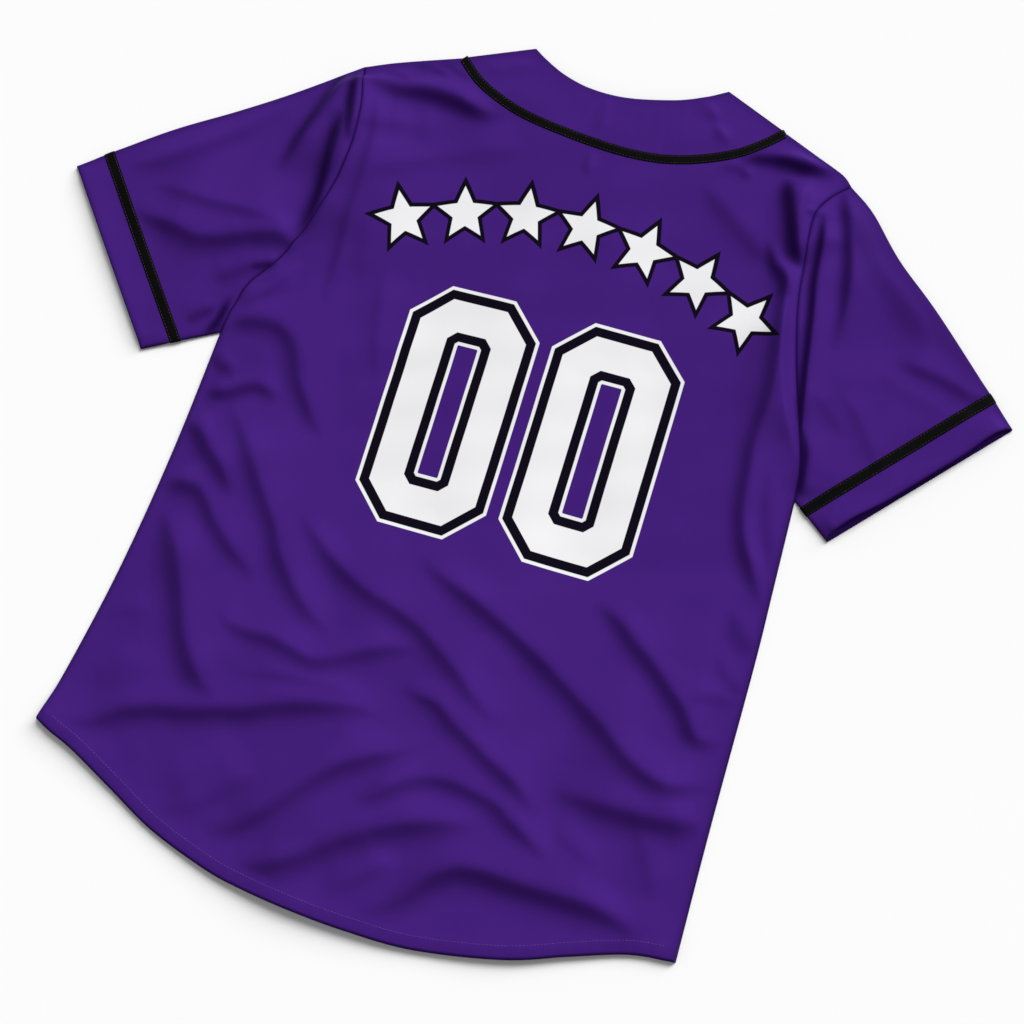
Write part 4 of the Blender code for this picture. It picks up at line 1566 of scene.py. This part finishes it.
@dataclass
class NeckTape:
    """Black tape over the seam between the back and the neck band."""

    shop: Workshop
    seat: float = 0.0002
    body: float = 0.4
    crown: float = 0.0001
    clearance: float = 0.0001
    least: float = 0.0003
    length: float = 0.36
    rows: int = 200
    columns: int = 8
    end_height: float = 0.001
    end_radius: float = 0.0030
    stitch_inset: float = 0.0012

    def strip(self, offsets: Array) -> Array:
        """Places at distances across the seam, a row for each distance."""
        seam = at_shares(neck_seam(), np.linspace(0.0, 1.0, self.rows))
        across = leftward(seam)
        return np.stack([seam + across * offset for offset in offsets])

    def cloth(self, plan: Array) -> Array:
        """The height of the cloth's upper face under the strip's places."""
        return over_grid(self.shop.drape.underside, plan) + CLOTH

    def top(self, offsets: Array) -> tuple[Array, Array]:
        """The strip's places and the heights of its upper face."""
        plan = self.strip(offsets)
        share = np.abs(offsets)[:, None] / (NECK_TAPE_WIDTH / 2)
        along = np.linspace(0.0, 1.0, self.rows)
        from_end = np.minimum(along, 1.0 - along) * self.length
        thickness = self.body * TAPE * tape_profile(share)
        top = self.cloth(plan) + self.seat + thickness + self.crown * (1 - share ** 2)
        end = quarter_round(from_end, self.end_radius)
        return plan, self.end_height + (top - self.end_height) * end

    def build(self) -> list[Object]:
        """Builds and dresses the tape and its two rows of stitches."""
        shop = self.shop
        half = NECK_TAPE_WIDTH / 2
        offsets = np.linspace(half, -half, self.columns + 1)
        plan, over = self.top(offsets)
        under = np.minimum(self.cloth(plan) + self.clearance, over - self.least)
        along = np.linspace(0.0, self.length, self.rows)
        grain = np.dstack(np.broadcast_arrays(along[None], offsets[:, None]))
        piece = sheet_shell("neck_tape_woven", lift(plan, over), lift(plan, under), grain, rim=TAPE_RIM)
        finish = Webbing("black_neck_tape", NECK_TAPE_WIDTH).material()
        shop.dress(piece, finish, Slot.TAPE, "neck_tape")
        rows = np.array((half - self.stitch_inset, self.stitch_inset - half))
        places, heights = self.top(rows)
        paths = [np.column_stack(pair) for pair in zip(places, heights)]
        stitches = shop.stitching.sew("neck_tape_stitches", paths, shop.black_thread)
        shop.dress(stitches, shop.black_thread, Slot.TAPE)
        return [piece, stitches]


@dataclass
class Lift:
    """Where a cuff's upper layer stands open: its place along the cuff, as shares, and its size."""

    middle: float
    half: float
    height: float
    setback: float


@dataclass
class Sleeve:
    """A short sleeve: a tube of cloth pressed flat, with a ring of tape above its open cuff.

    Margins are how far in from the folded edges something has its whole size. "follow" is the share
    of the upper layer's folds that the lower one has, from "follow_start" to "follow_ramp" in from a
    folded edge. "tape_least" and "tape_body" are parts of the tape's thickness.
    """

    shop: Workshop
    side: Side
    lifts: tuple[Lift, ...] = ()
    width: float = 0.24
    cell: float = 0.0030
    free_cell: float = 0.0024
    edge_cells: tuple[float, ...] = (0.0004, 0.0009, 0.0016, 0.0028)
    seam_cells: tuple[float, float, float] = (0.0046, 0.0450, 0.0019)
    fold_radius: float = 0.0020
    flare: float = 0.0015
    seam_dip: float = 0.0014
    seam_width: float = 0.0017
    gap: float = 0.0001
    gap_power: int = 8
    setback: float = 0.0008
    setback_power: int = 2
    setback_margin: float = 0.004
    flare_power: float = 1.3
    flare_margin: float = 0.012
    follow: float = 0.18
    follow_start: float = 0.004
    follow_ramp: float = 0.016
    follow_cuff: float = 0.022
    grain_width: float = 0.22
    tape_cells: int = 8
    tape_clearance: float = 0.0001
    tape_least: float = 0.15
    tape_body: float = 0.40
    under_tape: int = 5
    stitch_columns: int = 4
    steps: int = 60

    def __post_init__(self) -> None:
        """Works out the sleeve's edges and its columns, from the armhole to the cuff."""
        side = self.side
        self.across = shares(self.width, self.cell, self.edge_cells, self.edge_cells)
        down = np.linspace(0.0, 1.0, self.steps + 1)
        seam = at_shares(armhole(side), self.across)
        cuff = at_shares(np.stack((CUFF_TOP.on(side), CUFF_BOTTOM.on(side))), self.across)
        under_arm = np.stack((ARMPIT.on(side), CUFF_BOTTOM.on(side)))
        sides = [at_shares(line, down) for line in (over_arm(side), under_arm)]
        clear = side.value * leftward(seam) * self.gap
        fading = (1.0 - down)[:, None, None] ** self.gap_power
        grid = coons(seam, cuff, *sides, self.across, down) + clear * fading
        self.columns = grid.transpose(1, 0, 2)
        self.lengths = np.linalg.norm(np.diff(self.columns, axis=1), axis=2).sum(axis=1)
        arm = CUFF_TOP.on(side) - SHOULDER.on(side)
        self.outward = arm / np.linalg.norm(arm)

    def tape_edges(self) -> tuple[Array, Array]:
        """How far the tape's two edges lie from the armhole, along each column."""
        return self.lengths - CUFF_TO_TAPE - SLEEVE_TAPE_WIDTH, self.lengths - CUFF_TO_TAPE

    def cloth_rows(self) -> Array:
        """The cloth's rows: their distances from the armhole, along each column."""
        start, end = self.tape_edges()
        foot = self.foot(start)
        by_seam = (*self.edge_cells, *np.arange(*self.seam_cells))
        upper = shares(float(foot.max()), self.cell, first=by_seam)[:-1, None] * foot
        part = np.linspace(0.0, 1.0, self.under_tape + 1)[:-1, None]
        free = shares(CUFF_TO_TAPE, self.free_cell, last=self.edge_cells)[:, None]
        return np.vstack((upper, foot + part * (start - foot), start + part * (end - start),
                          end + free * (self.lengths - end)))

    def from_seam(self, points: Array) -> Array:
        """Each place's distance from the armhole."""
        return beside(points, armhole(self.side)).distance

    def foot(self, start: Array) -> Array:
        """Where the lower layer begins to rise towards the tape."""
        return np.maximum(start - TAPE_RAMP, start / 2)

    def plan(self, rows: Array, inset: float) -> tuple[Array, Array]:
        """The places of one layer, and how far in each column lies from the nearer folded edge.

        Args:
            rows: Distances from the armhole along each column.
            inset: How far in from the folded edges the outermost columns lie.

        Returns:
            The grid of places, and a grid of distances.
        """
        grid = np.stack([at_shares(column, row / length)
                         for column, row, length in zip(self.columns, rows.T, self.lengths)], axis=1)
        width = np.linalg.norm(grid[:, -1] - grid[:, 0], axis=1)[:, None]
        across = (grid[:, -1:] - grid[:, :1]) / width[..., None]
        share = self.across[None]
        grid = grid + across * (inset * (1.0 - 2.0 * share))[..., None]
        return grid, np.minimum(share, 1.0 - share) * (width - 2 * inset)

    def floor(self, rows: Array) -> Array:
        """How far the lower layer stands off the surface: it rises over its tape."""
        start, end = self.tape_edges()
        off = np.maximum((start - rows) / (start - self.foot(start)), (rows - end) / TAPE_RAMP)
        return (TAPE + SEAM_GAP) * (1.0 - smooth_step(off))

    def opening(self, rows: Array) -> tuple[Array, Array]:
        """How far the upper layer rises and draws back at the open cuff."""
        rise = np.full(len(self.across), self.flare)
        back = np.full(len(self.across), self.setback)
        for one in self.lifts:
            bump = bell(self.across - one.middle, one.half)
            rise = rise + one.height * bump
            back = back + one.setback * bump
        near_edge = np.clip(1.0 - (self.lengths - rows) / CUFF_TO_TAPE, 0.0, 1.0)
        return rise * near_edge ** self.flare_power, back * near_edge ** self.setback_power

    def loops(self, rows: Array, inset: float) -> Array:
        """Closed loops round the flat tube, at a distance in from its outer face.

        Args:
            rows: Distances from the armhole along each column.
            inset: The distance in, below zero outside the cloth.

        Returns:
            Rows of loops of points: the upper layer, then the lower one on the way back.
        """
        plan, depth = self.plan(rows, inset)
        floor = self.floor(rows)
        under = over_grid(self.shop.drape.underside, plan)
        folds = over_grid(self.shop.drape.folds, plan)
        dip = self.seam_dip * bell(over_grid(self.from_seam, plan), self.seam_width)
        rise, back = self.opening(rows)
        middle = floor + (BACK_LIFT + CLOTH) / 2
        rolled = quarter_round(depth, self.fold_radius - min(inset, CLOTH))
        lifted = (TAPE + SEAM_GAP) * smooth_step(rows / self.tape_edges()[0])
        upper = middle + (lifted + under + CLOTH - inset - dip - middle) * rolled
        upper = upper + rise * smooth_step(depth / self.flare_margin)
        settled = (smooth_step((depth - self.follow_start) / self.follow_ramp)
                   * smooth_step((self.lengths - rows) / self.follow_cuff))
        lower = middle - (middle - floor - inset - self.follow * folds * settled) * rolled
        back = back * smooth_step(depth / self.setback_margin)
        top = np.dstack((plan - self.outward * back[..., None], upper))
        return np.concatenate((top, np.dstack((plan, lower))[:, -2:0:-1]), axis=1)

    def edge_line(self, rows: Array) -> Array:
        """How much painted shade each loop point gets at the seam, a folded edge, the cuff's edge or
        doubled cloth.
        """
        plan, depth = self.plan(rows, 0.0)
        turned = np.minimum(depth, self.lengths - rows)
        # A thin painted shadow along the armhole seam.
        seam = bell(over_grid(self.from_seam, plan), SEAM_SHADE_WIDTH)
        line = np.maximum(painted_turn_shade(turned), seam)
        upper = np.maximum(line, over_grid(self.shop.drape.painted_tuck_shade, plan))
        return np.concatenate((upper, line[:, -2:0:-1]), axis=1)

    def grain(self, rows: Array) -> Array:
        """Each loop point's place round the sleeve, and its distance along from the rows' zero."""
        around = np.concatenate((self.across, 2.0 - self.across[-2:0:-1])) * self.grain_width
        along = np.concatenate((rows, rows[:, -2:0:-1]), axis=1)
        return np.dstack(np.broadcast_arrays(around[None], along))

    def build(self) -> None:
        self.build_tube(self.build_tape())

    def build_tube(self, tape: list[Object]) -> None:
        """The sleeve's cloth."""
        rows = self.cloth_rows()
        outer, inner = self.loops(rows, 0.0), self.loops(rows, CLOTH)
        piece = tube_shell(f"sleeve_{self.side.word}_cloth", outer, inner, self.grain(rows),
                           edge_line=self.edge_line(rows))
        self.shop.dress(piece, self.shop.knit, Slot.KNIT, f"sleeve_{self.side.word}")
        layer = self.plan(rows, 0.0)[0]
        around = 2 * float(np.linalg.norm(layer[0, -1] - layer[0, 0]))
        length = float(self.lengths.max())
        min(2 * flat_area(layer), around * length)

    def build_tape(self) -> list[Object]:
        """The ring of tape and its stitches."""
        shop, word = self.shop, self.side.word
        start, end = self.tape_edges()
        share = np.linspace(0.0, 1.0, self.tape_cells + 1)[:, None]
        rows = start + share * (end - start)
        profile = tape_profile(np.abs(2.0 * share - 1.0))
        thick = TAPE * (self.tape_least + self.tape_body * profile)
        ring, raised = self.loops(rows, -self.tape_clearance), self.loops(rows, -TAPE)
        outer = ring + (raised - ring) * (thick / TAPE)[..., None]
        grain = self.grain(rows - (start + end) / 2)
        piece = tube_shell(f"sleeve_tape_{word}_woven", outer, ring, grain, rim=TAPE_RIM)
        finish = Webbing(f"black_sleeve_tape_{word}", SLEEVE_TAPE_WIDTH).material()
        shop.dress(piece, finish, Slot.TAPE, f"sleeve_tape_{word}")
        upper = slice(self.stitch_columns, len(self.across) - self.stitch_columns)
        paths = [outer[row, upper] for row in (1, -2)]
        stitches = shop.stitching.sew(f"sleeve_tape_{word}_stitches", paths, shop.black_thread)
        shop.dress(stitches, shop.black_thread, Slot.TAPE)
        return [piece, stitches]


def refined(grid: Array, steps: int) -> Array:
    """A grid with smooth points between its own, along both ways."""
    tall = np.stack([smooth_curve(grid[:, column], steps) for column in range(grid.shape[1])], axis=1)
    return np.stack([smooth_curve(row, steps) for row in tall])


@dataclass
class FrontPanel:
    """Half of the button front, which lies under the back."""

    shop: Workshop
    side: Side
    shoulder_cells: int = 4
    armhole_cells: int = 15
    side_cells: int = 10
    steps: int = 6
    neck_bend: float = 0.010
    column_power: int = 3
    follow: float = 0.18
    follow_start: float = 0.004
    follow_ramp: float = 0.02
    rim_drop: float = 0.0004
    rim_radius: float = 0.0012

    def top(self) -> Array:
        """The shoulder and the neckline, then the placket's columns, from the armhole inward."""
        s = self.side.value
        shoulder = SHOULDER.on(self.side) + np.array((-s, -1)) * HIDDEN_INSET
        tip = NECK_TIP.on(self.side) - np.array((0.0, 2 * HIDDEN_INSET))
        placket = np.array(CENTRE_TOP) + np.array((s * PLACKET_HALF, 0.0))
        free_corner = placket - np.array((2 * s * PLACKET_HALF, 0.0))
        bend = (tip + placket) / 2 + np.array((-s, -1.5)) * self.neck_bend
        neckline = smooth_curve((tip, bend, placket))
        ramp_x = placket[0] + s * PLACKET_RAMP
        ramp_foot = np.array((ramp_x, np.interp(s * ramp_x, s * neckline[::-1, 0], neckline[::-1, 1])))
        points = at_shares(np.stack((shoulder, tip)), np.linspace(0, 1, self.shoulder_cells + 1))
        third = at_shares(neckline, np.array([1 / 3]))
        return np.vstack((points, third, ramp_foot, placket, free_corner))

    def hem(self, count: int) -> Array:
        """The hem, a little inside the back's."""
        s = self.side.value
        corner = HEM_CORNER.on(self.side) + np.array((-s, 0.7)) * HIDDEN_INSET
        placket = centre_x(CENTRE_HEM[1]) + s * PLACKET_HALF
        x = np.append(np.linspace(corner[0], placket + s * PLACKET_RAMP, count - 2),
                      (placket, placket - 2 * s * PLACKET_HALF))
        line = hem_edge()
        points = np.stack((x, np.interp(x, line[:, 0], line[:, 1]) + HIDDEN_INSET), axis=1)
        points[0] = corner
        return points

    def coarse(self) -> Array:
        """The panel's cells with the heights of its underside, as the solid has them."""
        top = self.top()
        bottom = self.hem(len(top))
        outer = np.vstack((at_shares(armhole(self.side), np.linspace(0, 1, self.armhole_cells + 1)),
                           at_shares(side_edge(self.side), np.linspace(0, 1, self.side_cells + 1))[1:]))
        outer[self.armhole_cells + 1:, 0] -= self.side.value * HIDDEN_INSET
        outer[0], outer[-1] = top[0], bottom[0]
        inner = at_shares(np.stack((top[-1], bottom[-1])), np.linspace(0, 1, len(outer)))
        across = 1 - np.linspace(1, 0, len(top)) ** self.column_power
        plan = coons(top, bottom, outer, inner, across, np.linspace(0, 1, len(outer)))
        height = np.zeros(plan.shape[:2])
        height[:, -2:] = {Side.LEFT: PLACKET_LIFT, Side.RIGHT: OVERLAP_LIFT}[self.side]
        return np.dstack((plan, height))

    def build(self) -> None:
        fine = refined(self.coarse(), self.steps)
        plan, height = fine[..., :2], fine[..., 2]
        points, numbers = plan.reshape(-1, 2), np.arange(height.size).reshape(height.shape)
        rim = beside(points, points[border(numbers)]).distance.reshape(height.shape)
        folds = over_grid(self.shop.drape.folds, plan)
        settled = smooth_step((rim - self.follow_start) / self.follow_ramp)
        placket_free = 1.0 - smooth_step(height / PLACKET_LIFT)
        under = np.maximum(height, 0.0) + self.follow * folds * settled * placket_free
        over = under + CLOTH - self.rim_drop * (1.0 - quarter_round(rim, self.rim_radius))
        piece = sheet_shell(f"front_{self.side.word}_cloth", lift(plan, over), lift(plan, under), plan)
        self.shop.dress(piece, self.shop.knit, Slot.KNIT, f"front_{self.side.word}")
        span(plan)
        flat_area(plan)


@dataclass
class Button:
    """A four-hole shirt button, face down."""

    number: int
    radius: float = BUTTON_RADIUS
    thickness: float = BUTTON
    dish: float = 0.00045
    dish_begins: float = 0.6
    dish_slope: float = 0.0006
    rim: float = 0.0016
    rim_round: float = 0.0004
    face_round: float = 0.0006
    back_round: float = 0.0007
    bevel: float = 0.0002
    hole_radius: float = 0.0009
    hole_place: float = 0.0017
    holes: int = 4
    sides: int = 40
    hole_sides: int = 14
    merged: float = 0.00001
    sharp: float = math.radians(35)

    def build(self, shop: Workshop, resin: Material) -> None:
        """Turns the button, drills its holes, puts it in place and dresses it."""
        y = BUTTON_FIRST_Y - (self.number - 1) * BUTTON_PITCH
        r, t, bevel, inner = self.radius, self.thickness, self.bevel, self.radius - self.rim
        profile = ((0.0, t), (r - self.back_round, t), (r - bevel, t - bevel), (r, t / 2),
                   (r - bevel, bevel), (r - self.face_round, 0.0), (inner + self.rim_round, 0.0),
                   (inner, self.dish * self.dish_begins), (inner - self.dish_slope, self.dish),
                   (0.0, self.dish))
        mesh = bpy.data.meshes.new(f"button_{self.number}_shape")
        edges = [(i, i + 1) for i in range(len(profile) - 1)]
        mesh.from_pydata([(x, 0.0, z) for x, z in profile], edges, [])
        blank = linked(f"button_{self.number}_blank", mesh)
        turn = blank.modifiers.new("turn", "SCREW")
        turn.steps = turn.render_steps = self.sides
        turn.use_merge_vertices, turn.merge_threshold = True, self.merged
        drills = []
        for corner in range(self.holes):
            angle = math.pi / 4 + corner * math.pi / 2
            place = (self.hole_place * math.cos(angle), self.hole_place * math.sin(angle), t / 2)
            bpy.ops.mesh.primitive_cylinder_add(vertices=self.hole_sides, radius=self.hole_radius,
                                                depth=2 * t, location=place)
            drill = bpy.context.object
            cut = blank.modifiers.new(f"hole_{corner}", "BOOLEAN")
            cut.object = drill
            drills.append(drill)
        graph = bpy.context.evaluated_depsgraph_get()
        made = bpy.data.meshes.new_from_object(blank.evaluated_get(graph))
        made.name = f"button_{self.number}_resin"
        for helper in (blank, *drills):
            bpy.data.objects.remove(helper)
        made.transform(Matrix.Translation((float(centre_x(y)), y, 0.0)))
        if signed_volume(made) < 0:
            made.flip_normals()
        made.shade_smooth()
        made.set_sharp_from_angle(angle=self.sharp)
        shop.dress(linked(made.name, made), resin, Slot.BUTTON, f"button_{self.number}")


# Studio ------------------------------------------------------------------------------------------

class Sun(NamedTuple):
    """A distant light. "wide" is how wide it looks, and its angles are in degrees."""

    name: str
    heading: float
    height: float
    strength: float
    wide: float


@dataclass(frozen=True)
class Studio:
    """The floor, the light and the camera."""

    eye: tuple[float, float, float] = (0.4293, -0.3885, 2.1392)
    looks_at: tuple[float, float, float] = (0.0479, -0.0176, 0.0)
    picture_top: tuple[float, float, float] = (-0.29596, 0.93089, 0.21415)
    lens: float = 91.41
    sensor: float = 36.0
    suns: tuple[Sun, ...] = (Sun("key", heading=12.0, height=50.0, strength=2.3, wide=32.0),
                             Sun("low", heading=34.0, height=27.0, strength=1.9, wide=28.0))
    fill: float = 0.38
    floor_size: float = 240.0
    floor_drop: float = 0.0002
    clip: tuple[float, float] = (0.05, 400.0)

    def camera(self) -> None:
        """The camera, at the photograph's angle."""
        data = bpy.data.cameras.new("view")
        data.lens, data.sensor_width = self.lens, self.sensor
        data.clip_start, data.clip_end = self.clip
        eye = Vector(self.eye)
        back = (eye - Vector(self.looks_at)).normalized()
        right = Vector(self.picture_top).cross(back).normalized()
        up = back.cross(right)
        view = linked("view", data)
        view.matrix_world = Matrix.Translation(eye) @ Matrix((right, up, back)).transposed().to_4x4()
        bpy.context.scene.camera = view

    def light(self) -> None:
        """A large soft key from the upper right, a lower one under it, and an even white fill."""
        for sun in self.suns:
            data = bpy.data.lights.new(sun.name, "SUN")
            data.energy, data.angle = sun.strength, math.radians(sun.wide)
            heading, height = math.radians(sun.heading), math.radians(sun.height)
            flat = math.cos(height)
            toward = Vector((math.sin(heading) * flat, math.cos(heading) * flat, math.sin(height)))
            linked(sun.name, data).rotation_euler = toward.to_track_quat("Z", "Y").to_euler()
        world = bpy.data.worlds.new("studio")
        world.use_nodes = True
        background = world.node_tree.nodes["Background"]
        background.inputs["Color"].default_value = (1.0, 1.0, 1.0, 1.0)
        background.inputs["Strength"].default_value = self.fill
        bpy.context.scene.world = world

    def floor(self) -> None:
        """A plain floor just under the cloth."""
        corners = np.array(((-1, -1), (1, -1), (1, 1), (-1, 1))) * self.floor_size / 2
        points = np.column_stack((corners, np.full(len(corners), -self.floor_drop)))
        sweep = add_mesh("studio_floor", points, [(0, 1, 2, 3)])
        sweep.data.materials.append(StudioFloor().material())

    def build(self) -> None:
        """Sets the studio up."""
        bpy.context.scene.view_settings.view_transform = "Standard"
        self.camera()
        self.light()
        self.floor()


LEFT_CUFF = (Lift(middle=0.50, half=0.50, height=0.0026, setback=0.0),)
RIGHT_CUFF = (Lift(middle=0.87, half=0.15, height=0.0050, setback=0.0030),
              Lift(middle=0.45, half=0.42, height=0.0034, setback=0.0012),
              Lift(middle=0.09, half=0.11, height=0.0040, setback=0.0022))


def main() -> None:
    """Builds the jersey's looks round its solids."""
    logging.basicConfig(level=logging.INFO, format="%(name)s: %(message)s", stream=sys.stdout)
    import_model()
    Studio().build()
    shop = Workshop(
        drape=Drape(),
        knit=KnitSatin().material(),
        printed=PrintedKnit().material(),
        purple_thread=PURPLE_THREAD.material(),
        black_thread=BLACK_THREAD.material(),
        stitching=Stitching())
    for side in Side:
        FrontPanel(shop, side).build()
    BackPanel(shop).build()
    NeckBand(shop).build(NeckTape(shop).build())
    Sleeve(shop, Side.LEFT, lifts=LEFT_CUFF).build()
    Sleeve(shop, Side.RIGHT, lifts=RIGHT_CUFF).build()
    resin = ButtonResin().material()
    for number in range(1, BUTTONS + 1):
        Button(number).build(shop, resin)


if __name__ == "__main__":
    main()
